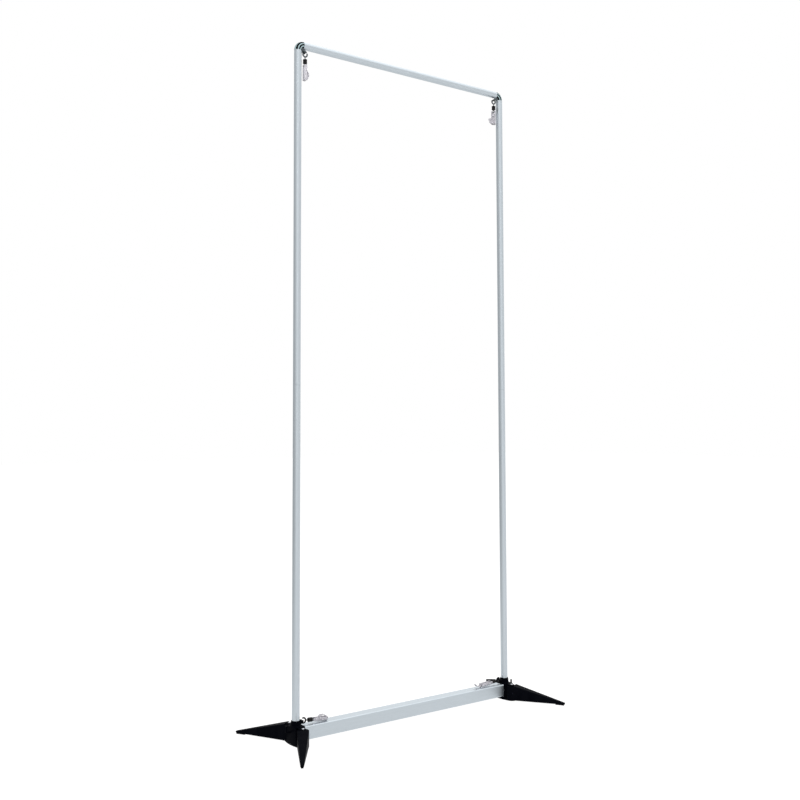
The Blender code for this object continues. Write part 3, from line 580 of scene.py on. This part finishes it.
def clip_frame(corner):
    """Where a clip hangs on its eye: z up to the hook, x out of the trough."""
    tilt, turn = corner + "_clip_tilt", corner + "_swivel_turn"
    return axes_at(joint_place(tilt), -joint_axis(tilt), joint_axis(turn))


def rod_profile(radius, low, high, ease):
    """A round rod's profile with eased ends."""
    top = [(0, high)] + [(r, z) for r, z in reversed(arc((radius - ease, high - ease), ease, 0, 90, 4))]
    bottom = [(r, low + high - z) for r, z in reversed(top)]
    return top + bottom


def tube_piece(node, length, place):
    """A length of round tube, sawn square and its burr taken off."""
    inner = TUBE_RADIUS - TUBE_WALL
    top = arc((TUBE_RADIUS - EDGE_BREAK, length - EDGE_BREAK), EDGE_BREAK, 90, 0, 3)
    bottom = [(r, length - z) for r, z in reversed(top)]
    profile = top + bottom + [(inner, 0), (inner, length)]
    tube = turned(node + "_piece", profile, TUBE_STEPS, closed=True)
    return seated(tube, node, "tube", place=place)


def bottom_bar_piece():
    """Square tube with rounded corners, lying along X."""
    low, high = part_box("bottom_bar")
    size, length = high.z - low.z, high.x - low.x

    def square(side, corner):
        """One rounded loop of the bar's section."""
        reach = side / 2 - corner
        points = []
        for x, y, start in ((1, 1, 0), (-1, 1, 90), (-1, -1, 180), (1, -1, 270)):
            points += arc((x * reach, y * reach), corner, start, start + 90, BAR_CORNER_STEPS)
        return points

    loops = [square(size, BAR_CORNER), square(size - 2 * BAR_WALL, BAR_CORNER - BAR_WALL)]
    bar = outline_solid("bottom_bar_piece", loops, -length / 2, length / 2)
    bar = eased(bar, EDGE_BREAK)
    place = Matrix.Translation((low + high) / 2) @ Matrix.Rotation(math.pi / 2, 4, "Y")
    return seated(bar, "bottom_bar", "bar", place=place)


def skin_height(distance):
    """How far the elbow's skin stands off the bend's plane, this far from the bend's centre."""
    return math.sqrt(TUBE_RADIUS ** 2 - (distance - BEND_RADIUS) ** 2)


def groove_points():
    """Half the elbow's section, (distance from the bend's centre, y), at its three eased grooves."""
    slope = EDGE_BREAK * GROOVE_LIP_SLOPE
    points = []
    for at in (BEND_RADIUS + GROOVE_PITCH, BEND_RADIUS, BEND_RADIUS - GROOVE_PITCH):
        outer, inner = at + GROOVE_WIDTH / 2, at - GROOVE_WIDTH / 2
        points += [("rim", outer + EDGE_BREAK, skin_height(outer + EDGE_BREAK)),
                   ("wall", outer, skin_height(outer) - slope), ("wall", outer, GROOVE_CORE),
                   ("wall", inner, GROOVE_CORE), ("wall", inner, skin_height(inner) - slope),
                   ("rim", inner - EDGE_BREAK, skin_height(inner - EDGE_BREAK))]
    return points


def elbow_section():
    """The elbow's whole closed section, round between its grooves."""
    middle, radius = BEND_RADIUS, TUBE_RADIUS
    section, previous = [], ("rim", middle + radius, 0.0)
    for place in groove_points() + [("rim", middle - radius, 0.0)]:
        section.append(previous[1:])
        if previous[0] == "rim" and place[0] == "rim":
            start = math.degrees(math.atan2(previous[2], previous[1] - middle))
            end = math.degrees(math.atan2(place[2], place[1] - middle))
            section += arc((middle, 0), radius, start, end, 8)[1:-1]
        previous = place
    section.append(previous[1:])
    return section + [(r, -y) for r, y in reversed(section[1:-1])]


def bend_solid(name):
    """The grooved quarter bend about the origin, from -X round to +Z; faces in the grooves take slot 1,
    which holds painted shade.
    """
    bm = bmesh.new()
    rings = []
    for i in range(BEND_STEPS + 1):
        way = math.pi / 2 * i / BEND_STEPS
        rings.append([bm.verts.new((-r * math.sin(way), y, r * math.cos(way))) for r, y in elbow_section()])
    for ring, following in zip(rings, rings[1:]):
        for k in range(len(ring)):
            face = bm.faces.new((ring[k - 1], ring[k], following[k], following[k - 1]))
            middle = face.calc_center_median()
            depth = TUBE_RADIUS - math.hypot(math.hypot(middle.x, middle.z) - BEND_RADIUS, middle.y)
            # Faces deep in a groove take the painted groove shade
            if depth > EDGE_BREAK:
                face.material_index = 1
    bm.faces.new(rings[0])
    bm.faces.new(rings[-1])
    bmesh.ops.recalc_face_normals(bm, faces=bm.faces)
    return new_object(name, bm)


def strap(name, start, end, radius, y_low, y_high):
    """A flat link with round ends between two (x, z) places, between two y values."""
    start, end = Vector(start), Vector(end)
    along = math.degrees(math.atan2(end.y - start.y, end.x - start.x))
    points = arc(end, radius, along - 90, along + 90, STRAP_END_STEPS)
    points += arc(start, radius, along + 90, along + 270, STRAP_END_STEPS)
    item = outline_solid(name, [points], -y_high, -y_low)
    item.data.transform(Matrix.Rotation(math.pi / 2, 4, "X"))
    return item


def elbow_piece(side):
    """The corner: a silver grey bend whose grooves are painted near black as shade, and two drilled cheeks
    for the hook's pin.
    """
    name, node = side + "_elbow_piece", side + "_elbow"
    bend = baked(bend_solid(name), BEND_HARD_ABOVE)
    pin = joint_place("top_left_hook_swing")
    x, z = pin.x + POST_X - BEND_RADIUS, pin.z - TOP_AXIS_Z + BEND_RADIUS
    for low, high in ((CHEEK_INNER, CHEEK_OUTER), (-CHEEK_OUTER, -CHEEK_INNER)):
        cheek = strap("cheek", (-CHEEK_ROOT, CHEEK_ROOT), (x, z), CHEEK_RADIUS, low, high)
        cheek = eased(cheek, EDGE_BREAK)
        for face in cheek.data.polygons:
            face.material_index = 2
        bend = joined(bend, cheek)
    turn = Matrix.Identity(4) if side == "left" else Matrix.Rotation(math.pi, 4, "Z")
    way = -1 if side == "left" else 1
    place = Matrix.Translation((way * (POST_X - BEND_RADIUS), 0, TOP_AXIS_Z - BEND_RADIUS)) @ turn
    return seated(bend, node, "elbow", "groove", "wire", place=place)


def joined(*items):
    """Several pieces made one object, as shells that touch."""
    bm = bmesh.new()
    for item in items:
        bm.from_mesh(item.data)
    name = items[0].name
    for item in items:
        bpy.data.objects.remove(item, do_unlink=True)
    made = new_object(name, bm)
    made.data.shade_smooth()
    made.data.set_sharp_from_angle(angle=math.radians(JOINED_HARD_ABOVE))
    return made


def foot_hub_piece(side):
    """The moulded hub, with every edge rounded as the tool leaves it."""
    node = side + "_foot_hub"
    return seated(softened(node, HUB_ROUNDING), node, "nylon")


def leg_piece(leg):
    """The moulded leg, its edges rounded a little more than the hub's."""
    return seated(softened(leg, LEG_ROUNDING), leg, "nylon")


def pad_piece(leg):
    """The rubber pad, with fine grooves across its underside."""
    node = leg + "_pad"
    pad = softened(node, PAD_ROUNDING)
    hinge, centre = joint_place(leg + "_fold"), node_centre(node)
    along = math.atan2(centre.y - hinge.y, centre.x - hinge.x)
    turn = Matrix.Translation((centre.x, centre.y, 0)) @ Matrix.Rotation(along, 4, "Z")
    size = (PAD_GROOVE_WIDTH, PAD_GROOVE_LENGTH, PAD_GROOVE_DEPTH * 2)
    for i in range(PAD_GROOVES):
        from_middle = (i - (PAD_GROOVES - 1) / 2) * PAD_GROOVE_PITCH
        pad = cut(pad, block("groove", (from_middle, 0, 0), size, turn))
    return seated(pad, node, "rubber")


def block(name, centre, size, place=Matrix()):
    """A plain block, used only as a cutter."""
    bm = bmesh.new()
    bmesh.ops.create_cube(bm, size=1.0)
    bmesh.ops.scale(bm, vec=size, verts=bm.verts)
    bmesh.ops.translate(bm, vec=centre, verts=bm.verts)
    bmesh.ops.transform(bm, matrix=place, verts=bm.verts)
    return new_object(name, bm)


def hinge_pin_piece(leg):
    """The bright pin: a domed head with a drive recess, and a shank that shows under the sole."""
    node = leg + "_hinge_pin"
    low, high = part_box(node)
    radius, shank, seat = (high.x - low.x) / 2, HINGE_SHANK_RADIUS, high.z - HINGE_HEAD_HEIGHT
    rim = seat + HINGE_HEAD_HEIGHT - HINGE_DOME_RISE
    quarter = [math.pi / 2 * k / 10 for k in range(11)]
    dome = [(radius * math.sin(a), rim + HINGE_DOME_RISE * math.cos(a)) for a in quarter]
    profile = dome + [(radius, seat + HINGE_HEAD_EDGE), (radius - HINGE_HEAD_EDGE, seat), (shank, seat),
                      (shank, low.z + HINGE_LEAD_IN), (shank - HINGE_LEAD_IN, low.z), (0, low.z)]
    pin = turned(node + "_piece", profile, SMALL_ROUND_STEPS)
    long, wide, deep = DRIVE_RECESS
    for size in ((long, wide, deep), (wide, long, deep)):
        pin = cut(pin, block("drive recess", (0, 0, high.z), size))
    centre = joint_place(leg + "_fold")
    return seated(pin, node, "zinc", place=Matrix.Translation((centre.x, centre.y, 0)))


def cross_pin(node, place, radius, half_length, finish):
    """A pin across a fork, its ends eased by about a third of its radius."""
    profile = rod_profile(radius, -half_length, half_length, radius * 0.35)
    pin = turned(node + "_piece", profile, STEM_STEPS)
    pin.data.transform(Matrix.Rotation(math.pi / 2, 4, "X"))
    return seated(pin, node, finish, place=place)


def hook_wire_radius(angle):
    """The hook's wire at an angle round its ring, forged slimmer where it sits on the pin."""
    start, end = HOOK_SEAT_ANGLES
    share = min(1.0, max(0.0, (angle - start) / (end - start)))
    return HOOK_WIRE + (HOOK_BACK_WIRE - HOOK_WIRE) * share * share * (3 - 2 * share)


def hook_ring(name, centre_z):
    """The open ring, its outside round all the way, with rounded tips."""
    first, last = HOOK_ANGLES
    points, radii = [], []
    for i in range(HOOK_STEPS + 1):
        angle = first + (last - first) * i / HOOK_STEPS
        radius = hook_wire_radius(angle)
        reach = HOOK_RADIUS + HOOK_WIRE - radius
        way = math.radians(angle)
        points.append((reach * math.cos(way), 0, centre_z + reach * math.sin(way)))
        from_tip = min(i, HOOK_STEPS - i)
        radii.append(radius * min(1.0, math.sqrt(max(0.02, from_tip / HOOK_TIP_STEPS))))
    return wire(name, points, radii)


def hook_piece(corner):
    """The open hook: its ring, a shoulder and a headed stem."""
    node = corner + "_hook"
    centre_z = -(HOOK_RADIUS - HOOK_WIRE - PIN_RADIUS - GAP)
    ring = hook_ring(node + "_piece", centre_z)
    neck_z = centre_z - HOOK_RADIUS
    profile = [(r, neck_z + z) for r, z in (*HOOK_SHOULDER, (STEM_RADIUS, HOOK_SHOULDER_END))]
    head_top = -(BARREL_TOP + BARREL_LIP + GAP)
    profile += stem_head(head_top, head_top - STEM_HEAD_HEIGHT)
    hook = joined(ring, turned("stem", profile, STEM_STEPS))
    finish = "wire" if corner.startswith("top") else "dark_wire"
    return seated(hook, node, finish, place=hook_frame(corner))


def stem_head(near, far):
    """The flat head at a stem's end, which stays in the barrel: profile points from its near face."""
    return [(STEM_RADIUS, near), (STEM_HEAD_RADIUS, near), (STEM_HEAD_RADIUS, far), (0, far)]


def barrel_piece(corner):
    """The swivel's barrel, rolled with a waist between two bands and bored for the two stem heads."""
    node = corner + "_swivel_barrel"
    top, bottom = -BARREL_TOP, -(BARREL_TOP + BARREL_LENGTH)
    waist = arc((BARREL_RADIUS, (top + bottom) / 2), BARREL_EDGE, 90, 270, 6)
    rim = arc((BARREL_RADIUS - BARREL_EDGE, top - BARREL_EDGE), BARREL_EDGE, 90, 0, 4)
    profile = [(BARREL_HOLE, top)] + rim + waist + [(r, top + bottom - z) for r, z in reversed(rim)]
    profile += [(BARREL_HOLE, bottom), (BARREL_HOLE, bottom + BARREL_LIP)]
    profile += [(BARREL_CAVITY, bottom + BARREL_LIP), (BARREL_CAVITY, top - BARREL_LIP)]
    profile += [(BARREL_HOLE, top - BARREL_LIP)]
    barrel = turned(node + "_piece", profile, SMALL_ROUND_STEPS, closed=True)
    return seated(barrel, node, "black_steel", place=swivel_frame(corner))


def swivel_frame(corner):
    """The swivel's placement: the hook's pin, turned as the clip below it."""
    clip = clip_frame(corner)
    return Matrix.Translation(joint_place(corner + "_hook_swing")) @ clip.to_3x3().to_4x4()


def eye_piece(corner):
    """The swivel's lower eye of bent wire, with its stem up in the barrel."""
    node = corner + "_swivel_eye"
    drop = (joint_place(corner + "_clip_tilt") - joint_place(corner + "_hook_swing")).length
    centre_z = -(drop - (EYE_RADIUS - EYE_WIRE - CLIP_PIN_RADIUS - GAP))
    steps = SMALL_ROUND_STEPS
    points = [(x, 0, z) for x, z in arc((0, centre_z), EYE_RADIUS, 0, 360 - 360 / steps, steps - 1)]
    ring = wire(node + "_piece", points, [EYE_WIRE] * steps, closed=True)
    head_low = -(BARREL_TOP + BARREL_LENGTH) + BARREL_LIP + GAP
    foot = centre_z + EYE_RADIUS
    profile = list(reversed(stem_head(head_low, head_low + STEM_HEAD_HEIGHT)))
    profile += [(STEM_RADIUS + r, foot + z) for r, z in EYE_WELD] + [(0, foot + EYE_WELD_END)]
    eye = joined(ring, turned("eye stem", profile, STEM_STEPS))
    return seated(eye, node, "wire", place=swivel_frame(corner))


def clip_body_piece(corner):
    """The clip's clear trough with its jaw, its edges barely rounded so that the teeth stay sharp."""
    node = corner + "_clip_body"
    return seated(softened(node, CLIP_ROUNDING), node, "clear")


def lever_frame(corner):
    """The lever's placement: on its pin, opened as it stands at rest."""
    opened = FULL_OPEN - math.radians(JOINTS[corner + "_lever_open"]["range_deg"][1])
    turn = clip_frame(corner).to_3x3().to_4x4() @ Matrix.Rotation(opened, 4, "Y")
    return Matrix.Translation(joint_place(corner + "_lever_open")) @ turn


def lever_piece(corner):
    """The bowed lever, with fine ridges under the thumb near its tip."""
    node = corner + "_clip_lever"
    lever = softened(node, LEVER_ROUNDING)
    place = lever_frame(corner)
    ridges = []
    profile = rod_profile(RIDGE_RADIUS, -RIDGE_HALF_LENGTH, RIDGE_HALF_LENGTH, RIDGE_RADIUS / 2)
    for x, z in arc(THUMB_CENTRE, THUMB_RADIUS, *THUMB_ANGLES, RIDGES - 1):
        ridge = turned("ridge", profile, RIDGE_STEPS)
        ridge.data.transform(place @ Matrix.Translation((x, 0, z)) @ Matrix.Rotation(math.pi / 2, 4, "X"))
        ridges.append(ridge)
    return seated(joined(lever, *ridges), node, "clear")


def clip_pin_pieces(corner):
    """The eye pin, the tie rivet and the lever pin across the clip."""
    turn = clip_frame(corner).to_3x3().to_4x4()
    places = {
        "_clip_pin": joint_place(corner + "_clip_tilt"),
        "_clip_rivet": node_centre(corner + "_clip_rivet"),
        "_lever_pin": joint_place(corner + "_lever_open"),
    }
    for ending, at in places.items():
        place = Matrix.Translation(at) @ turn
        cross_pin(corner + ending, place, CLIP_PIN_RADIUS, CLIP_PIN_HALF_LENGTH, "bright_wire")


def dress_node(node, key):
    """A CAD node whose own shape is right gets its finish."""
    item = frame["nodes"][node]
    item.data.materials.clear()
    item.data.materials.append(finish_for(key))


class BannerFrameFinishes(bpy.types.PropertyGroup):
    """Colours and surface values that a user may change."""

    aluminium: bpy.props.FloatVectorProperty(
        name="Aluminium", description="Colour of the anodised tubes", subtype="COLOR_GAMMA",
        size=3, min=0, max=1, default=from_hex("#DCE5EC"))
    elbow: bpy.props.FloatVectorProperty(
        name="Elbows", description="Colour of the moulded corner pieces", subtype="COLOR_GAMMA",
        size=3, min=0, max=1, default=from_hex("#8DA3A7"))
    plastic: bpy.props.FloatVectorProperty(
        name="Feet", description="Colour of the hubs and legs", subtype="COLOR_GAMMA",
        size=3, min=0, max=1, default=from_hex("#04050A"))
    clip: bpy.props.FloatVectorProperty(
        name="Clips", description="Tint of the clear clips", subtype="COLOR_GAMMA",
        size=3, min=0, max=1, default=from_hex("#E4E2E8"))
    tube_roughness: bpy.props.FloatProperty(
        name="Tube roughness", description="Satin of the anodised tubes", default=0.34, min=0, max=1,
        subtype="FACTOR")
    plastic_roughness: bpy.props.FloatProperty(
        name="Feet roughness", description="Satin of the moulded feet", default=0.40, min=0, max=1,
        subtype="FACTOR")
    clip_clearness: bpy.props.FloatProperty(
        name="Clip clearness", description="How far light passes the clips", default=0.55, min=0, max=1,
        subtype="FACTOR")


class BannerFrameStage(bpy.types.PropertyGroup):
    """Sizes and strengths of the floor and the lights."""

    floor_side: bpy.props.FloatProperty(
        name="Floor side", description="Side of the square floor", default=40.0, min=4, unit="LENGTH")
    key_power: bpy.props.FloatProperty(
        name="Key light", description="Power of the large soft light", default=150.0, min=0, unit="POWER")
    fill_power: bpy.props.FloatProperty(
        name="Fill light", description="Power of the fill light", default=60.0, min=0, unit="POWER")
    room_strength: bpy.props.FloatProperty(
        name="Room", description="Strength of the room's even light", default=0.6, min=0)


class MESH_OT_banner_tubes(bpy.types.Operator):
    """Make the post sections, the top bar and the bottom bar"""

    bl_idname = "mesh.banner_tubes"
    bl_label = "Tubes"

    def execute(self, context):
        for side in SIDES:
            for part in ("lower", "upper"):
                node = f"{side}_post_{part}"
                low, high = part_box(node)
                centre = node_centre(node)
                tube_piece(node, high.z - low.z, Matrix.Translation((centre.x, centre.y, low.z)))
            dress_node(side + "_post_joiner", "sleeve")
        low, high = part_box("top_bar")
        centre = node_centre("top_bar")
        place = Matrix.Translation((low.x, centre.y, centre.z)) @ Matrix.Rotation(math.pi / 2, 4, "Y")
        tube_piece("top_bar", high.x - low.x, place)
        bottom_bar_piece()
        return {"FINISHED"}


class MESH_OT_banner_elbows(bpy.types.Operator):
    """Make the two grooved corner pieces"""

    bl_idname = "mesh.banner_elbows"
    bl_label = "Elbows"

    def execute(self, context):
        for side in SIDES:
            elbow_piece(side)
        return {"FINISHED"}


class MESH_OT_banner_feet(bpy.types.Operator):
    """Make the hubs, legs, hinge pins and pads"""

    bl_idname = "mesh.banner_feet"
    bl_label = "Feet"

    def execute(self, context):
        for side in SIDES:
            foot_hub_piece(side)
        for leg in LEGS:
            leg_piece(leg)
            pad_piece(leg)
            hinge_pin_piece(leg)
        return {"FINISHED"}


class MESH_OT_banner_swivels(bpy.types.Operator):
    """Make the hooks with their pins, the swivel barrels and the eyes"""

    bl_idname = "mesh.banner_swivels"
    bl_label = "Hooks and swivels"

    def execute(self, context):
        for corner in CORNERS:
            cross_pin(corner + "_hook_pin", hook_frame(corner), PIN_RADIUS, PIN_HALF_LENGTH, "black_steel")
            hook_piece(corner)
            barrel_piece(corner)
            eye_piece(corner)
        return {"FINISHED"}


class MESH_OT_banner_clips(bpy.types.Operator):
    """Make the clips with their levers, pins and rivets"""

    bl_idname = "mesh.banner_clips"
    bl_label = "Clips"

    def execute(self, context):
        for corner in CORNERS:
            clip_body_piece(corner)
            clip_pin_pieces(corner)
            lever_piece(corner)
        return {"FINISHED"}


def path_of_rays(tree):
    """The light path node, and 1 for rays that a mirror or a clear piece sends on."""
    rays = add_node(tree, "ShaderNodeLightPath")
    mirror = add_node(tree, "ShaderNodeMath", {"operation": "MAXIMUM"}, i0=rays.outputs["Is Glossy Ray"],
                      i1=rays.outputs["Is Transmission Ray"])
    return rays, mirror.outputs[0]


def floor_material():
    """Matt white studio floor that meets the white background and takes a soft shadow.

    Seen in a mirror or through a clear piece it is a little grey, and darker far to the left.
    """
    material, tree, shader = start_material("matt white floor", Roughness=0.9)
    shader.inputs["Base Color"].default_value = (0.8, 0.8, 0.8, 1)
    rays, mirror = path_of_rays(tree)
    place = add_node(tree, "ShaderNodeNewGeometry").outputs["Position"]
    across = add_node(tree, "ShaderNodeVectorMath", {"operation": "DOT_PRODUCT"}, i0=place, i1=ACROSS_VIEW)
    grey = spread(tree, across.outputs["Value"], *FLOOR_MIRRORED)
    reflected = add_node(tree, "ShaderNodeEmission", Color=(1, 1, 1, 1), Strength=grey)
    glow = add_node(tree, "ShaderNodeEmission", Color=(1, 1, 1, 1), Strength=0.95)
    soft = add_node(tree, "ShaderNodeBsdfDiffuse", Color=(0.22, 0.22, 0.22, 1))
    seen = add_node(tree, "ShaderNodeAddShader", i0=glow.outputs[0], i1=soft.outputs[0])
    first = add_node(tree, "ShaderNodeMixShader", i0=mirror, i1=shader.outputs[0], i2=reflected.outputs[0])
    last = add_node(tree, "ShaderNodeMixShader", i0=rays.outputs["Is Camera Ray"], i1=first.outputs[0],
                    i2=seen.outputs[0])
    tree.links.new(last.outputs[0], tree.nodes["Material Output"].inputs["Surface"])
    return material


def make_floor(side):
    """The square floor just under the feet."""
    bm = bmesh.new()
    bmesh.ops.create_grid(bm, x_segments=2, y_segments=2, size=side / 2)
    floor = new_object("studio_floor", bm)
    floor.location.z = FLOOR_Z
    floor.data.materials.append(floor_material())


def make_room(strength):
    """Even room light, which a mirror or a clear piece sees dim left, less dim right and brighter above."""
    world = bpy.data.worlds.new("pale room")
    bpy.context.scene.world = world
    world.use_nodes = True
    tree = world.node_tree
    tree.nodes.clear()
    rays, mirror = path_of_rays(tree)
    way = add_node(tree, "ShaderNodeTexCoord").outputs["Generated"]
    height = add_node(tree, "ShaderNodeSeparateXYZ", Vector=way).outputs["Z"]
    across = add_node(tree, "ShaderNodeVectorMath", {"operation": "DOT_PRODUCT"}, i0=way, i1=ACROSS_VIEW)
    left = spread(tree, across.outputs["Value"], *ROOM_LEFT_MIRRORED)
    right = spread(tree, across.outputs["Value"], *ROOM_RIGHT_MIRRORED)
    side = add_node(tree, "ShaderNodeMath", {"operation": "MINIMUM"}, i0=left, i1=right).outputs[0]
    above = spread(tree, height, *ROOM_ABOVE_MIRRORED)
    tone = add_node(tree, "ShaderNodeMath", {"operation": "ADD"}, i0=side, i1=above).outputs[0]
    even = add_node(tree, "ShaderNodeBackground", Color=(1, 1, 1, 1), Strength=strength)
    reflected = add_node(tree, "ShaderNodeBackground", Color=(1, 1, 1, 1), Strength=tone)
    white = add_node(tree, "ShaderNodeBackground", Color=(1, 1, 1, 1), Strength=1.0)
    first = add_node(tree, "ShaderNodeMixShader", i0=mirror, i1=even.outputs[0], i2=reflected.outputs[0])
    last = add_node(tree, "ShaderNodeMixShader", i0=rays.outputs["Is Camera Ray"], i1=first.outputs[0],
                    i2=white.outputs[0])
    output = add_node(tree, "ShaderNodeOutputWorld")
    tree.links.new(last.outputs[0], output.inputs["Surface"])


def soft_light(name, place, side, power):
    """A large square light aimed at the object's middle, which no mirror shows."""
    lamp = bpy.data.lights.new(name, "AREA")
    lamp.shape = "SQUARE"
    lamp.size = side
    lamp.energy = power
    item = bpy.data.objects.new(name, lamp)
    bpy.context.scene.collection.objects.link(item)
    item.location = place
    item.rotation_euler = (Vector(LIGHTS_AIM) - Vector(place)).to_track_quat("-Z", "Y").to_euler()
    item.visible_camera = False
    item.visible_glossy = False


def make_camera():
    """The photograph's own view, its lens centre a little above the picture's middle."""
    forward = Vector((math.sin(LENS_YAW) * math.cos(LENS_PITCH), math.cos(LENS_YAW) * math.cos(LENS_PITCH),
                      math.sin(LENS_PITCH)))
    level = Vector((math.cos(LENS_YAW), -math.sin(LENS_YAW), 0))
    down = -level.cross(forward)
    right = level * math.cos(LENS_ROLL) + down * math.sin(LENS_ROLL)
    up = right.cross(forward)
    lens = bpy.data.cameras.new("photo_view")
    lens.sensor_width = SENSOR_MM
    lens.lens = FOCAL_PIXELS / IMAGE_SIDE * SENSOR_MM
    lens.shift_y = (CENTRE_ROW_PIXELS - IMAGE_SIDE / 2) / IMAGE_SIDE
    lens.clip_end = FARTHEST_SEEN
    camera = bpy.data.objects.new("photo_view", lens)
    bpy.context.scene.collection.objects.link(camera)
    turn = Matrix((right, up, -forward)).transposed().to_4x4()
    camera.matrix_world = Matrix.Translation(LENS_PLACE) @ turn
    bpy.context.scene.camera = camera


class SCENE_OT_banner_stage(bpy.types.Operator):
    """Make the floor, the room, the soft lights and the photograph's camera"""

    bl_idname = "scene.banner_stage"
    bl_label = "Stage"

    def execute(self, context):
        sizes = context.scene.banner_frame_stage
        make_floor(sizes.floor_side)
        make_room(sizes.room_strength)
        soft_light("key_light", KEY_PLACE, KEY_SIDE, sizes.key_power)
        soft_light("fill_light", FILL_PLACE, FILL_SIDE, sizes.fill_power)
        make_camera()
        context.scene.view_settings.view_transform = "Standard"
        return {"FINISHED"}


class VIEW3D_PT_banner_frame(bpy.types.Panel):
    """Lists the pieces, their finishes and the stage"""

    bl_label = "Banner frame"
    bl_idname = "VIEW3D_PT_banner_frame"
    bl_space_type = "VIEW_3D"
    bl_region_type = "UI"
    bl_category = "Banner frame"

    def draw(self, context):
        """Shows the panel values, then a button for each group of pieces."""
        column = self.layout.column()
        for group in (context.scene.banner_frame_finishes, context.scene.banner_frame_stage):
            for name in group.bl_rna.properties.keys():
                if name not in ("rna_type", "name"):
                    column.prop(group, name)
        for operator in PIECE_OPERATORS:
            column.operator(operator.bl_idname)


PIECE_OPERATORS = (MESH_OT_banner_tubes, MESH_OT_banner_elbows, MESH_OT_banner_feet, MESH_OT_banner_swivels,
                   MESH_OT_banner_clips, SCENE_OT_banner_stage)
CLASSES = (BannerFrameFinishes, BannerFrameStage, *PIECE_OPERATORS, VIEW3D_PT_banner_frame)


def register():
    """Adds the classes and the two groups of panel values."""
    for item in CLASSES:
        bpy.utils.register_class(item)
    bpy.types.Scene.banner_frame_finishes = bpy.props.PointerProperty(type=BannerFrameFinishes)
    bpy.types.Scene.banner_frame_stage = bpy.props.PointerProperty(type=BannerFrameStage)


def unregister():
    """Takes the groups and the classes away again."""
    del bpy.types.Scene.banner_frame_stage
    del bpy.types.Scene.banner_frame_finishes
    for item in reversed(CLASSES):
        bpy.utils.unregister_class(item)


def main():
    """Makes every piece and the stage."""
    register()
    bpy.ops.mesh.banner_tubes()
    bpy.ops.mesh.banner_elbows()
    bpy.ops.mesh.banner_feet()
    bpy.ops.mesh.banner_swivels()
    bpy.ops.mesh.banner_clips()
    bpy.ops.scene.banner_stage()


if __name__ == "__main__":
    main()
